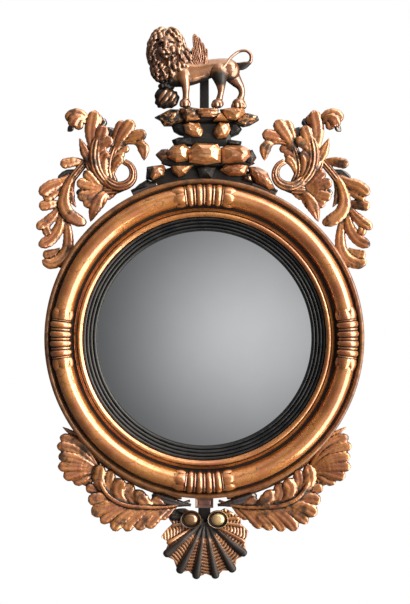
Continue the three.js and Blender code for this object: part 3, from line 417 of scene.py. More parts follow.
# ---------- convex glass ----------
# Domed plate glass, 423 mm across and silvered behind. It bulges 22 mm towards the
# room and is held in the slip's rebate.
glass_profile = [(glass_radius * i / 24, glass_front(glass_radius * i / 24)) for i in range(25)]
glass_profile += [(r, d - glass_thickness) for r, d in reversed(glass_profile)]
glass = spun("convex_glass_silvered", glass_profile, steps=160, smooth=40)


def silvering():
    """Tin-and-mercury silvering seen through old plate: faintly uneven, with tiny specks."""
    material, tree = blank("silvered_plate")
    at = add(tree, "ShaderNodeTexCoord").outputs["Object"]
    haze = cloud(tree, at, 7, 3)
    colour = tint(tree, fade(tree, haze, 0.35, 0.65), (0.86, 0.865, 0.87, 1), (0.9, 0.9, 0.9, 1))
    colour = tint(tree, fade(tree, cloud(tree, at, 260), 0.74, 0.82, 0, 0.3), colour, (0.3, 0.3, 0.3, 1))
    shader = add(tree, "ShaderNodeBsdfPrincipled", {
        "Base Color": colour, "Metallic": 1.0, "Roughness": fade(tree, haze, 0.3, 0.7, 0.03, 0.06)})
    add(tree, "ShaderNodeOutputMaterial", {"Surface": shader.outputs[0]})
    return material


dress(glass, silvering(), "convex_glass", slot="silvered_glass")


# ---------- reeded collars ----------
# Four carved sleeves of gilt lime wood lie over the roll at 12, 3, 6 and 9 o'clock:
# big ribs with thin ones between, and a row of pointed leaves at each end.
collar_half, collar_cap = 12.3, 4.8  # degrees of the ring, from a sleeve's middle and from its end
collar_ribs = 4
rib_half = 1 - collar_cap / collar_half
collar_nodes = {0: "collar_right", 90: "collar_top", 180: "collar_left", 270: "collar_bottom"}


def collar_rise(share):
    """Height of the sleeve over the roll, along its length from -1 to 1."""
    if abs(share) < rib_half:
        across = (share / rib_half + 1) / 2 * collar_ribs % 1
        big = max(0.0, math.cos(math.pi * min(0.31, abs(across - 0.5)) / 0.62)) ** 0.6
        thin = math.sqrt(max(0.0, 1 - (min(across, 1 - across) / 0.1) ** 2))
        return 1.1 + 3.1 * big + 1.5 * thin
    end = (abs(share) - rib_half) / (1 - rib_half)
    if end < 0.9:
        return 1.0 + 2.6 * math.sin(math.pi * min(1, end * 1.1)) ** 0.7
    return 0.9 + 6 * (1 - end)


def collar(degrees):
    """One sleeve: a grid over the roll, each end cut to leaf points."""
    along, around = 96, 56
    cap_leaves, sleeve_base, vein_depth, notch = 2.5, roll_radius + 0.5, 0.8, 0.3 * collar_cap / collar_half
    mesh = bmesh.new()
    rows = []
    for a in range(along + 1):
        share = -1 + 2 * a / along
        rise = collar_rise(share)
        end = max(0.0, (abs(share) - rib_half) * collar_half / collar_cap)
        row = []
        for side in ("front", "back"):
            for i in range(around + 1):
                turn = math.pi * (i / around if side == "front" else 1 - i / around)
                leaf = abs(math.sin(cap_leaves * turn))
                length = 1 - notch * (1 - leaf) * end ** 1.5
                lift = rise * (0.5 + 0.5 * leaf if end > 0 else 1) if side == "front" else 0
                vein = vein_depth * end * abs(math.cos(cap_leaves * turn)) ** 4 if side == "front" else 0
                radius = sleeve_base + lift - vein
                angle = math.radians(degrees + share * length * collar_half)
                reach = roll_centre + radius * math.cos(turn)
                row.append(mesh.verts.new((reach * math.cos(angle) * MM,
                                           -(roll_depth + radius * math.sin(turn)) * MM,
                                           reach * math.sin(angle) * MM)))
        rows.append(row)
    for first, second in zip(rows, rows[1:]):
        for i in range(len(first)):
            j = (i + 1) % len(first)
            mesh.faces.new((first[i], first[j], second[j], second[i]))
    for row in (rows[0], rows[-1]):
        for i in range(around):
            mesh.faces.new((row[i], row[i + 1], row[-2 - i], row[-1 - i]))
    bmesh.ops.recalc_face_normals(mesh, faces=mesh.faces)
    data = bpy.data.meshes.new(collar_nodes[degrees] + "_carving")
    mesh.to_mesh(data)
    mesh.free()
    return linked(data.name, data)


def normals_of(piece):
    """Which way each vertex faces."""
    facing = np.zeros(len(piece.data.vertices) * 3)
    piece.data.vertices.foreach_get("normal", facing)
    return facing.reshape(-1, 3)


def hollows(piece, passes=16, spread=1.3, edge=0.5):
    """Marks each vertex from 0, on a ridge, to 1, in a hollow, by how it lies to its surroundings; faces
    turned away from the front are marked as hollows too, so the finish paints shade on them.
    """
    co = corners_of(piece)
    no = normals_of(piece)
    ends = np.zeros(len(piece.data.edges) * 2, np.int64)
    piece.data.edges.foreach_get("vertices", ends)
    a, b = ends.reshape(-1, 2).T
    count = len(co)
    near = np.maximum(np.bincount(a, minlength=count) + np.bincount(b, minlength=count), 1)
    level = co.copy()
    fine_pass = 4
    for step in range(1, passes + 1):
        for axis in range(3):
            total = np.bincount(a, level[b, axis], count) + np.bincount(b, level[a, axis], count)
            level[:, axis] = (level[:, axis] + total / near) / 2
        if step == fine_pass:
            fine = ((level - co) * no).sum(1) / (spread * MM * 0.4)
    broad = ((level - co) * no).sum(1) / (spread * MM)
    # Painted shade: faces turned away from the front count as hollows.
    wall = np.clip((no[:, 1] + edge) / 0.4, 0, 1)
    return np.clip(np.maximum(0.5 + (0.45 * fine + 0.55 * broad) / 2, 0.4 + 0.5 * wall), 0, 1)


carved_gilding = gilding("carved_gilding", leaf=(0.64, 0.235, 0.05), bole=(0.15, 0.03, 0.013),
                         ridge_highlight=0.45, patina=0.92, cloud_size=30, worn=0.75)
collar_gilding = gilding("collar_gilding", leaf=(0.66, 0.25, 0.06), patina=0.3, worn=0.6)
for degrees, node in collar_nodes.items():
    made = collar(degrees)
    only(made)
    bpy.ops.object.shade_smooth_by_angle(angle=math.radians(50))
    store(made, "hollow", hollows(made, passes=10, spread=1.0))
    dress(made, collar_gilding, node)


# ---------- acanthus sprays ----------
# Two pierced sprays carved from lime wood stand on the ring's shoulders: a C-scroll
# with a heart-shaped stem and a crest leaf, a fan of lobes, and an outer branch whose
# curls hang beside the ring. Each is glued up from boards and gilt all over.
# A lobe is its path as (x, z), half its width at the root and where it is widest, its depths at the
# root, middle and tip, and whether it ends in a point.
scroll_lobes = [
    ("volute", [(-151, 333), (-140, 326), (-134, 313), (-136, 299), (-147, 289), (-162, 286), (-177, 292),
     (-189, 304)], 6, 7.2, (36, 40, 35), 0),
    ("knob leaf", [(-163, 287), (-179, 296), (-189, 309), (-193, 326), (-190, 342), (-179, 350)], 5, 9.6,
     (32, 35, 42), 0),
    ("heart vein", [(-154, 284), (-177, 289), (-192, 302), (-202, 319), (-206, 338), (-205, 357),
     (-200, 378)], 5.6, 8.4, (33, 38, 44), 0),
    ("spike stem", [(-162, 283), (-184, 290), (-202, 305), (-214, 322), (-221, 338)], 5, 6.4,
     (31, 34, 34), 0),
    ("spike leaf", [(-212, 320), (-219, 338), (-227, 357), (-235, 377)], 5, 7.8, (31, 37, 38), 1),
    ("crown lobe", [(-207, 340), (-211, 368), (-212, 394), (-205, 429)], 6.4, 11, (36, 42, 43), 0),
    ("crown scallop", [(-208, 386), (-202, 406), (-196, 421)], 4.6, 6.8, (36, 39, 40), 0),
    ("crown back lobe", [(-208, 384), (-199, 400), (-187, 415)], 4.4, 7.4, (31, 31, 30), 0),
    ("right lobe high", [(-203, 343), (-198, 366), (-192, 384), (-187, 400)], 6.2, 10.2, (37, 43, 46), 0),
    ("right back lobe", [(-194, 370), (-182, 383), (-173, 398)], 4.6, 7.8, (31, 31, 30), 0),
    ("right lobe middle", [(-203, 333), (-197, 356), (-186, 368), (-170, 372)], 6, 9.4, (37, 42, 44), 0),
    ("head outer lobe", [(-216, 394), (-220, 407), (-228, 418), (-240, 422), (-251, 418), (-257, 407)],
     4.6, 7.6, (36, 46, 45), 0),
    ("head droop outer", [(-224, 411), (-234, 414), (-244, 409), (-249, 396)], 5.2, 7.4, (46, 51, 49), 0),
    ("head droop inner", [(-221, 407), (-229, 409), (-235, 402), (-236, 391)], 4.6, 6.6, (43, 47, 45), 0),
    ("head dark tip", [(-246, 402), (-252, 395), (-258, 390)], 4, 4.6, (40, 38, 34), 1),
    ("neck shadow", [(-212, 343), (-213, 364), (-216, 384), (-222, 404)], 5, 5.4, (30, 32, 34), 0),
    ("crest rib", [(-171, 294), (-178, 312), (-178, 330), (-174, 347), (-167, 362), (-154, 370),
     (-141, 372), (-126, 368)], 8.6, 5.2, (30, 35, 42), 0),
    ("crest lobe inner", [(-172, 352), (-167, 372), (-160, 392), (-153, 410)], 5.6, 8.2, (35, 40, 42), 0),
    ("crest lobe middle", [(-167, 356), (-158, 376), (-146, 393), (-134, 410)], 6.6, 10.4, (36, 43, 44), 0),
    ("crest lobe outer", [(-160, 366), (-144, 376), (-128, 381), (-108, 384)], 6.4, 9, (36, 42, 45), 0),
    ("crest tip", [(-132, 372), (-122, 367), (-114, 355), (-113, 334)], 7, 9.6, (38, 45, 42), 1),
    ("crest under curl", [(-174, 338), (-165, 352), (-154, 357), (-141, 357)], 5, 6.2, (31, 34, 34), 0),
    ("crest inner curl", [(-175, 320), (-170, 337), (-161, 345), (-150, 345)], 5.2, 6.6, (31, 34, 34), 0),
    ("crest low curl", [(-172, 314), (-167, 328), (-160, 336), (-152, 339)], 4.4, 6, (32, 36, 37), 0),
    ("fan stem", [(-144, 286), (-159, 282), (-174, 280), (-191, 280)], 4.4, 6.4, (30, 33, 34), 0),
    ("fan lobe 1", [(-184, 281), (-201, 289), (-214, 302), (-227, 315)], 5.2, 7.6, (32, 37, 40), 0),
    ("fan lobe 2", [(-189, 281), (-208, 285), (-226, 290), (-240, 295)], 5.4, 8.6, (33, 38, 42), 0),
    ("fan dark tip", [(-197, 279), (-213, 277), (-228, 276), (-243, 275)], 4.6, 5.4, (28, 28, 28), 0),
    ("fan lobe 3", [(-189, 279), (-207, 274), (-223, 269), (-239, 265)], 5.4, 8.6, (33, 38, 42), 0),
    ("fan lobe 4", [(-186, 277), (-201, 266), (-214, 258), (-227, 249)], 5.4, 8.2, (32, 37, 40), 0),
    ("fan tip", [(-184, 277), (-197, 263), (-207, 243), (-215, 220)], 6.2, 11, (33, 40, 32), 1),
    ("fan side lobe", [(-177, 277), (-188, 267), (-196, 256), (-203, 244)], 4.8, 7.6, (30, 34, 32), 0),
    ("fan small lobe", [(-164, 279), (-177, 272), (-187, 265)], 4.4, 6, (28, 30, 30), 0),
]
branch_lobes = [
    ("branch stem", [(-220, 339), (-229, 328), (-242, 312), (-254, 295), (-263, 276), (-269, 256)],
     7.4, 5.6, (24, 30, 28), 0),
    ("high petal", [(-225, 334), (-242, 334), (-257, 331), (-272, 327)], 5.4, 7.8, (24, 31, 36), 0),
    ("shadow petal", [(-245, 317), (-261, 313), (-277, 299)], 4.2, 5, (20, 20, 20), 0),
    ("side lobe high", [(-253, 306), (-272, 294), (-291, 286), (-310, 270)], 6.4, 9.6, (26, 34, 40), 0),
    ("side lobe low", [(-260, 289), (-277, 278), (-292, 269), (-304, 263)], 5.6, 7.4, (26, 33, 37), 0),
    ("side petal", [(-269, 257), (-283, 254), (-298, 251), (-312, 248)], 4.8, 8.2, (26, 33, 37), 0),
    ("crescent", [(-242, 314), (-256, 292), (-263, 270), (-264, 253), (-257, 236), (-243, 225),
     (-231, 220), (-222, 219)], 4.8, 10.6, (28, 36, 30), 0),
    ("inner spike", [(-248, 298), (-252, 278), (-250, 262), (-242, 247)], 4.6, 5.4, (28, 31, 31), 1),
    ("hanging curl 1", [(-272, 256), (-281, 237), (-295, 221), (-308, 211), (-310, 203)], 3.8, 8,
     (27, 33, 40), 0),
    ("hanging curl 1 lip", [(-290, 220), (-298, 207), (-293, 194)], 4.2, 6.2, (30, 36, 36), 0),
    ("hanging curl 2", [(-272, 251), (-271, 228), (-276, 206), (-290, 186), (-312, 174)], 4, 9.4,
     (27, 32, 40), 0),
    ("hanging curl 3", [(-268, 251), (-261, 225), (-257, 193), (-259, 168), (-271, 149), (-290, 141),
     (-306, 147)], 4.4, 9.2, (27, 30, 38), 0),
    ("hanging curl back", [(-272, 168), (-288, 160), (-306, 156)], 4.8, 7.4, (26, 27, 28), 0),
]


scallop, fuller = 9, 2.4  # mm between the notches of an edge, and the bulge past a lobe's own half width
leaf_thickness = 7


def curve_through(points, steps):
    """Even stations on a smooth curve through the points."""
    p = np.array(points, float)
    p = np.vstack([2 * p[0] - p[1], p, 2 * p[-1] - p[-2]])
    fine = []
    for i in range(1, len(p) - 2):
        for t in np.linspace(0, 1, 12, endpoint=False):
            fine.append(0.5 * (2 * p[i] + (p[i + 1] - p[i - 1]) * t
                               + (2 * p[i - 1] - 5 * p[i] + 4 * p[i + 1] - p[i + 2]) * t ** 2
                               + (3 * p[i] - p[i - 1] - 3 * p[i + 1] + p[i + 2]) * t ** 3))
    fine = np.array(fine + [p[-2]])
    run = np.concatenate([[0], np.cumsum(np.linalg.norm(np.diff(fine, axis=0), axis=1))])
    at = np.linspace(0, run[-1], steps)
    return np.stack([np.interp(at, run, fine[:, k]) for k in range(fine.shape[1])], 1), run[-1]


def leaf_lobe(points, root, widest, depths, pointed, thick=leaf_thickness, stem=False):
    """A lobe as rings of points in mm: a fluted leaf with scalloped edges, or a reeded stem."""
    length = np.linalg.norm(np.diff(np.array(points, float), axis=0), axis=1).sum()
    steps = max(14, int(length / 1.8))
    spine, length = curve_through(points, steps)
    along = np.gradient(spine, axis=0)
    along /= np.linalg.norm(along, axis=1)[:, None]
    side = np.stack([along[:, 1], -along[:, 0]], 1)
    tip_start = 0.55 if pointed else 0.8
    rings = []
    for i, share in enumerate(np.linspace(0, 1, steps)):
        swell = min(1.0, share / 0.6)
        half = root + (widest - root) * swell * swell * (3 - 2 * swell)
        tip = max(0.0, (share - tip_start) / (1 - tip_start))
        half *= (1 - tip) ** 0.7 if pointed else max(0.0, 1 - tip ** 2.6) ** 0.5
        if not stem and share > 0.25:
            half *= 0.87 + 0.13 * abs(math.sin(math.pi * share * length / scallop)) ** 0.5
        half = max(half, 0.7)
        level = (depths[0] * (1 - share) * (1 - 2 * share) + 4 * depths[1] * share * (1 - share)
                 + depths[2] * share * (2 * share - 1))
        crown = min(half * 0.42, 4.2)
        cut = min(1, share * 2.5) * min(1, half / 6)
        teeth = 0 if stem or pointed else max(0.0, (share - 0.6) / 0.4) ** 1.4 * 0.42 * widest
        ring = []
        for u in np.linspace(-1, 1, 25):
            front = level + crown * (1 - abs(u) ** 2.2)
            if stem:
                front += 1.1 * min(1, half / 5) * math.cos(3 * math.pi * u)
            else:
                lip = 0.4 * math.exp(-((abs(u) - 0.6) / 0.16) ** 2)
                groove = 1.1 * math.exp(-(u / 0.26) ** 2)
                front += cut * (lip - groove + 0.2 * math.cos(9 * math.pi * u))
            bite = teeth * (1 - abs(math.cos(1.5 * math.pi * u)) ** 0.7)
            x, z = spine[i] + side[i] * half * u - along[i] * bite
            ring.append((x, -front, z))
        for u in np.linspace(0.96, -0.96, 7):
            back = level - min(thick, 2.2 + half) * (1 - 0.55 * u * u)
            x, z = spine[i] + side[i] * half * u
            ring.append((x, -back, z))
        rings.append(ring)
    return rings


def skin(name, parts):
    """Joins lofted parts, each a list of rings in mm, in one object."""
    points, faces = [], []
    for rings in parts:
        start, count = len(points), len(rings[0])
        for ring in rings:
            points.extend(ring)
        for r in range(len(rings) - 1):
            for i in range(count):
                j = (i + 1) % count
                a = start + r * count
                faces.append((a + i, a + j, a + count + j, a + count + i))
        faces.append(tuple(start + i for i in reversed(range(count))))
        last = start + (len(rings) - 1) * count
        faces.append(tuple(last + i for i in range(count)))
    data = bpy.data.meshes.new(name)
    data.from_pydata([tuple(c * MM for c in p) for p in points], [], faces)
    made = linked(name, data)
    edit(made)
    bpy.ops.mesh.normals_make_consistent(inside=False)
    bpy.ops.object.mode_set(mode="OBJECT")
    return made


def fuse(piece, voxel=1.25, passes=16, spread=1.3, edge=0.5):
    """Turns joined parts into one carved skin, and marks its ridges and hollows."""
    only(piece)
    remesh = piece.modifiers.new("remesh", "REMESH")
    remesh.mode = "VOXEL"
    remesh.voxel_size = voxel * MM
    bpy.ops.object.modifier_apply(modifier=remesh.name)
    smooth = piece.modifiers.new("smooth", "SMOOTH")
    smooth.factor = 0.5
    smooth.iterations = 1
    bpy.ops.object.modifier_apply(modifier=smooth.name)
    bpy.ops.object.shade_smooth()
    store(piece, "hollow", hollows(piece, passes, spread, edge))
    return piece


def on_ring(degrees, radius):
    """A point on a circle round the mirror's middle, as (x, z) in mm."""
    return np.array([radius * math.cos(math.radians(degrees)), radius * math.sin(math.radians(degrees))])


shaded = ("back lobe", "shadow", "dark tip", "shadow petal", "shadow lobe")
reeded = ("stem", "volute", "vein", "rib")


def lobes_from(rows, dark=False):
    """Lofts the lit lobes of a list, or the ones that lie behind them and are left dark."""
    return [leaf_lobe(points, root, widest + fuller, depths, pointed, stem=label.endswith(reeded))
            for label, points, root, widest, depths, pointed in rows if label.endswith(shaded) == dark]


def arc_foot(start, end, width, back, front):
    """A low block that follows the ring's edge, where a carving is glued to it."""
    inner = ring_radius + seat_gap
    section = ((inner, back), (inner, front), (inner + width * 0.5, front + 1),
               (inner + width, front - 3), (inner + width, back + 2))
    rings = []
    for degrees in np.linspace(start, end, 12):
        corners = [(on_ring(degrees, reach), depth) for reach, depth in section]
        rings.append([(x, -depth, z) for (x, z), depth in corners])
    return rings


def set_corners(piece, places):
    """Moves all its vertices, given in metres."""
    piece.data.vertices.foreach_set("co", places.ravel())
    piece.data.update()


def mirrored(piece, name):
    """A copy for the other side, with its own mesh."""
    twin = piece.copy()
    twin.data = piece.data.copy()
    twin.name = twin.data.name = name
    bpy.context.scene.collection.objects.link(twin)
    twin.data.flip_normals()
    set_corners(twin, corners_of(piece) * (-1, 1, 1))
    return twin


def carve_pair(name, parts, finish, node):
    """A carving and its mirror twin, which stand for one node at each side."""
    left = fuse(skin(name + "_left_carving", parts), edge=0.72)
    dress(left, finish, node + "_left")
    dress(mirrored(left, name + "_right_carving"), finish, node + "_right")


shaded_gilding = gilding("shaded_gilding", leaf=(0.05, 0.024, 0.014), bole=(0.02, 0.009, 0.006), worn=0.9)
scroll_shadow = lobes_from(scroll_lobes + branch_lobes, dark=True) + [arc_foot(107, 116.5, 13, 16, 30)]
branch_lit = lobes_from(branch_lobes) + [arc_foot(145, 154, 13, 16, 30)]
carve_pair("scroll", lobes_from(scroll_lobes), carved_gilding, "scroll_spray")
carve_pair("branch", branch_lit, carved_gilding, "scroll_spray")
carve_pair("scroll_shadow", scroll_shadow, shaded_gilding, "scroll_spray")


# ---------- apron leaves ----------
# Two long acanthus leaves hug the ring below, with a fan of lobes at the outer end.
# They are carved like the sprays and glued along the ring's lower edge.
apron_lobes = [
    ("apron thin rib", [(-27, -308), (-61, -317), (-102, -318), (-144, -314), (-172, -302), (-189, -284),
     (-198, -263), (-196, -241)], 2.6, 1.6, (22, 40, 36), 0),
    ("tip lobe", [(-170, -302), (-187, -284), (-199, -263), (-194, -237)], 5.6, 10.5, (32, 36, 40), 0),
    ("upper lobe 1", [(-164, -304), (-176, -286), (-179, -267), (-175, -247)], 5.6, 9.2, (32, 34, 36), 0),
    ("upper lobe 2", [(-145, -312), (-159, -297), (-162, -280), (-151, -266)], 6, 11.3, (32, 36, 38), 0),
    ("upper lobe 3", [(-119, -317), (-136, -304), (-143, -287), (-136, -274)], 5.6, 10.5, (30, 32, 32), 0),
    ("upper lobe 4", [(-95, -318), (-112, -308), (-121, -297), (-117, -286)], 5.6, 11.3, (30, 34, 34), 0),
    ("upper lobe 5", [(-69, -319), (-87, -310), (-100, -302)], 4.9, 8.8, (26, 28, 28), 0),
    ("shadow lobe", [(-25, -316), (-50, -312), (-76, -305), (-100, -297)], 3, 8.6, (24, 27, 24), 0),
    ("lower lobe 1", [(-181, -291), (-196, -287), (-211, -284), (-224, -280)], 5.2, 8, (28, 30, 32), 0),
    ("lower lobe 2", [(-159, -308), (-181, -302), (-202, -302), (-219, -306)], 5.6, 10.1, (32, 36, 40), 0),
    ("lower lobe 3", [(-142, -314), (-170, -314), (-194, -321), (-212, -331)], 6, 11.3, (32, 38, 42), 0),
    ("lower lobe 4", [(-125, -317), (-155, -321), (-179, -334), (-195, -347)], 5.6, 9.2, (32, 36, 40), 0),
    ("lower lobe 5", [(-110, -318), (-138, -327), (-162, -346), (-172, -362)], 5.6, 10.5, (32, 36, 40), 0),
    ("lower lobe 6", [(-95, -319), (-119, -329), (-140, -347), (-148, -364)], 5.6, 9.6, (32, 34, 36), 0),
    ("lower lobe 7", [(-82, -321), (-102, -332), (-117, -347), (-128, -361)], 5.2, 9.6, (30, 32, 34), 0),
    ("lower lobe 8", [(-69, -321), (-87, -334), (-100, -347), (-110, -357)], 5.2, 9.2, (28, 30, 32), 0),
    ("lower lobe 9", [(-54, -317), (-72, -331), (-85, -340)], 4.5, 7.6, (24, 26, 28), 0),
]
fan_lobes = [
    ("fan leaf 1", [(-201, -245), (-218, -211), (-243, -186), (-269, -168)], 4.9, 7.6, (26, 26, 22), 1),
    ("fan leaf 2", [(-203, -241), (-224, -211), (-248, -194), (-273, -186)], 5.2, 9.2, (28, 32, 34), 0),
    ("fan leaf 3", [(-203, -243), (-228, -220), (-252, -207), (-278, -202)], 5.2, 9.2, (28, 34, 38), 0),
    ("fan leaf 4", [(-203, -247), (-228, -232), (-252, -224), (-275, -222)], 5.2, 9.2, (28, 36, 40), 0),
    ("fan leaf 5", [(-203, -249), (-229, -243), (-252, -241), (-276, -241)], 5.2, 8.8, (28, 36, 40), 0),
    ("fan leaf 6", [(-203, -252), (-228, -251), (-248, -256), (-266, -261)], 5.2, 9.6, (28, 34, 38), 0),
    ("fan leaf 7", [(-201, -254), (-220, -259), (-235, -267), (-249, -270)], 4.9, 8.8, (26, 30, 32), 0),
    ("fan leaf 8", [(-198, -254), (-213, -262), (-223, -269), (-232, -276)], 4.9, 8, (24, 26, 26), 0),
]
apron_lit = lobes_from(apron_lobes + fan_lobes) + [arc_foot(222, 262, 9, 16, 24)]
carve_pair("apron_leaf", apron_lit, carved_gilding, "apron_leaf")
carve_pair("apron_shadow", lobes_from(apron_lobes + fan_lobes, dark=True), shaded_gilding, "apron_leaf")


# ---------- rock plinth ----------
# Four courses of rough rocks and a tablet carry the lion: hewn lime wood, gilt on the faces and
# near black at the sides and in the gaps, partly stain and partly painted shade. Each course is glued on the
# last.
# A stone is its outline as (x, z), then the depths of its back, its edge and its face, and its darkness,
# partly stain and partly painted shade.
rock_depth = 62
base_stones = [
    ("grey wedge", [(-109, 324), (-96, 326), (-95, 297), (-111, 301)], 20, 30, 40, 0.8),
    ("dark foot", [(-139, 277), (-124, 292), (-109, 301), (-100, 297), (-104, 284), (-122, 275)],
     14, 24, 34, 1),
    ("left boulder", [(-98, 324), (-77, 327), (-72, 320), (-77, 305), (-98, 296), (-102, 305)],
     16, 40, 52, 0),
    ("left ledge stone", [(-64, 324), (-49, 327), (-19, 326), (-34, 308), (-49, 303), (-61, 312)],
     16, 40, 54, 0),
    ("keystone", [(-17, 322), (1, 325), (22, 322), (14, 303), (-10, 302)], 16, 34, 42, 0.9),
    ("dark bed", [(-99, 312), (-60, 325), (60, 325), (96, 312), (99, 284.5), (80, 290.5), (50, 297),
     (0, 301), (-50, 297), (-80, 290.5), (-102, 283.5)], 14, 28, 32, 1),
    ("right ledge stone", [(28, 316), (39, 326), (67, 327), (84, 324), (78, 307), (63, 304), (43, 306)],
     16, 42, 56, 0),
    ("small stone", [(73, 309), (86, 311), (91, 294), (73, 297)], 16, 34, 42, 0.4),
    ("right boulder", [(82, 324), (101, 324), (119, 313), (134, 281), (123, 279), (97, 293), (86, 309)],
     16, 36, 50, 0),
]
slab_stones = [
    ("left chip", [(-92, 346), (-81, 357), (-68, 357), (-66, 337), (-79, 331)], 20, 34, 44, 0.3),
    ("left block", [(-72, 350), (-59, 363), (-38, 365), (-27, 357), (-29, 333), (-53, 330), (-70, 339)],
     15, 44, 58, 0),
    ("middle block", [(-32, 354), (-16, 367), (26, 365), (33, 354), (33, 329), (1, 324), (-29, 330)],
     13, 48, 62, 0),
    ("right block", [(29, 357), (41, 363), (71, 363), (86, 354), (89, 341), (73, 330), (31, 327)],
     15, 46, 60, 0),
    ("right chip", [(84, 354), (91, 356), (99, 341), (89, 327), (78, 329)], 20, 36, 46, 0.5),
    ("bed", [(-81, 342), (86, 342), (95, 329), (82, 324), (-64, 324), (-81, 329)], 13, 36, 40, 1),
]
neck_stones = [
    ("left boulder", [(-40, 401), (-29, 406), (-10, 404), (-1, 389), (-6, 378), (-21, 378), (-36, 386)],
     16, 44, 54, 0),
    ("right boulder", [(18, 395), (28, 406), (46, 404), (50, 391), (41, 376), (24, 374), (16, 384)],
     16, 44, 54, 0),
    ("left shadow stone", [(-62, 402), (-53, 408), (-32, 408), (-27, 380), (-46, 384), (-59, 391)],
     15, 30, 38, 1),
    ("left foot stone", [(-62, 374), (-49, 380), (-21, 380), (-21, 363), (-57, 363)], 15, 32, 40, 1),
    ("right shadow stone", [(44, 408), (61, 408), (71, 395), (65, 386), (46, 378)], 15, 30, 38, 1),
    ("right foot stone", [(41, 376), (71, 372), (69, 363), (37, 361)], 15, 32, 40, 1),
    ("core", [(-38, 408), (48, 408), (52, 363), (-42, 363)], 13, 34, 38, 1),
]
ledge_stones = [
    ("left wing", [(-94, 417), (-83, 423), (-64, 432), (-44, 432), (-36, 410), (-61, 401), (-77, 401),
     (-85, 412)], 16, 36, 46, 0.4),
    ("left slab", [(-47, 432), (-27, 435), (-10, 432), (-6, 410), (-34, 406)], 14, 44, 54, 0.3),
    ("right foot", [(18, 423), (33, 425), (46, 408), (16, 408)], 14, 42, 52, 0.1),
    ("right slab", [(29, 430), (52, 434), (74, 432), (78, 423), (59, 409), (41, 411)], 14, 46, 58, 0),
    ("right wing", [(65, 423), (82, 425), (101, 419), (103, 412), (86, 402), (73, 399), (54, 406)],
     18, 36, 46, 0.34),
    ("bed", [(-72, 425), (74, 425), (78, 408), (-68, 408)], 13, 34, 40, 0.9),
]
tablet_grooves = (418.5, 424.5)
tablet_stone = [
    ("tablet", [(-14, 428), (-8, 431), (24, 431), (27, 427), (24, 416), (16, 414), (-6, 414), (-14, 422)],
     40, 56, 62, 0),
]


def hewn(name, stones, seed, grooves=()):
    """Chiselled stones, each lofted from its outline to a sunken or raised face."""
    draw = random.Random(seed)
    parts, stains, edges = [], [], []
    for _, outline, back, edge, front, stain_and_shade in stones:
        middle = np.mean(outline, axis=0)
        lean = np.array([draw.uniform(-0.14, 0.14), draw.uniform(-0.02, 0.2)])
        reach = np.ptp(np.array(outline), axis=0)
        rings = []
        for size, depth, jitter in ((0.96, back, 0), (1, edge - 5, 0.5), (0.97, edge, 0.6),
                                    (0.72, (edge + front) / 2 + 1, 1.6), (0.36, front - 1, 1.6),
                                    (0.05, front - 0.5, 0)):
            ring = []
            for corner in outline:
                p = middle + (np.array(corner) - middle) * size + lean * reach * (1 - size) * 0.6
                p = p + [draw.uniform(-jitter, jitter), draw.uniform(-jitter, jitter)]
                rough_depth = depth + draw.uniform(-jitter, jitter)
                ring.append((p[0], -min(rock_depth - 0.8, rough_depth), p[1]))
            rings.append(ring)
            stains += [stain_and_shade] * len(ring)
            edges += [edge] * len(ring)
        parts.append(rings)
    made = skin(name, parts)
    store(made, "stain_and_shade", stains)
    store(made, "edge", edges)
    edit(made)
    bpy.ops.mesh.subdivide(number_cuts=5, quadcorner="INNERVERT")
    bpy.ops.object.mode_set(mode="OBJECT")
    co = corners_of(made) / MM
    rough = np.array([noise.fractal((x / 9, y / 9, z / 5 + seed), 0.6, 2.0, 3) for x, y, z in co])
    gouge = np.sin((co[:, 0] * 0.35 + co[:, 2]) / 1.5 + 3 * rough)
    front_share = np.clip((-co[:, 1] - 30) / 10, 0, 1)
    co[:, 1] += -0.4 * rough * front_share + 0.2 * gouge * front_share
    for level in grooves:
        co[:, 1] += 1.5 * np.exp(-((co[:, 2] - level) / 0.9) ** 2) * front_share
    co[:, 0] += 0.5 * rough
    co[:, 1] = np.clip(co[:, 1], -rock_depth, None)
    set_corners(made, co * MM)
    # Painted shade: the sides of each stone behind its edge are darker.
    side = np.clip((stored(made, "edge") + 1.5 + co[:, 1]) / 3.5, 0, 1)
    marks = np.maximum(hollows(made, 6, 1.2) * 0.9, 0.42 + 0.5 * side)
    # Each stone's darkness: partly stain, partly painted shade in the gaps and on stones in shadow.
    marks = np.maximum(marks, 0.45 + 0.55 * stored(made, "stain_and_shade") - 0.16 * (rough > 0.15))
    store(made, "hollow", np.clip(marks, 0, 1))
    only(made)
    bpy.ops.object.shade_smooth_by_angle(angle=math.radians(24))
    return made


rock_gilding = gilding("rock_gilding", leaf=(0.62, 0.255, 0.08), bole=(0.2, 0.06, 0.025),
                       wax_and_shade=(0.008, 0.0055, 0.005), patina=0.7, streaked=True, worn=0.55, back_shade=(20, 40))
for name, stones, node, seed, grooves in (
        ("plinth_base_rocks", base_stones, "plinth_base", 3, ()),
        ("plinth_slab_rocks", slab_stones, "plinth_slab", 5, ()),
        ("plinth_neck_rocks", neck_stones, "plinth_neck", 8, ()),
        ("plinth_ledge_rocks", ledge_stones, "plinth_top", 12, ()),
        ("plinth_tablet_stone", tablet_stone, "plinth_tablet", 17, tablet_grooves)):
    dress(hewn(name, stones, seed, grooves), rock_gilding, node)


# ---------- winged lion ----------
# A lion carved in the round walks to the left with its head turned to the room. One
# forepaw rests on a banded boulder, and a feathered wing rises from each shoulder.


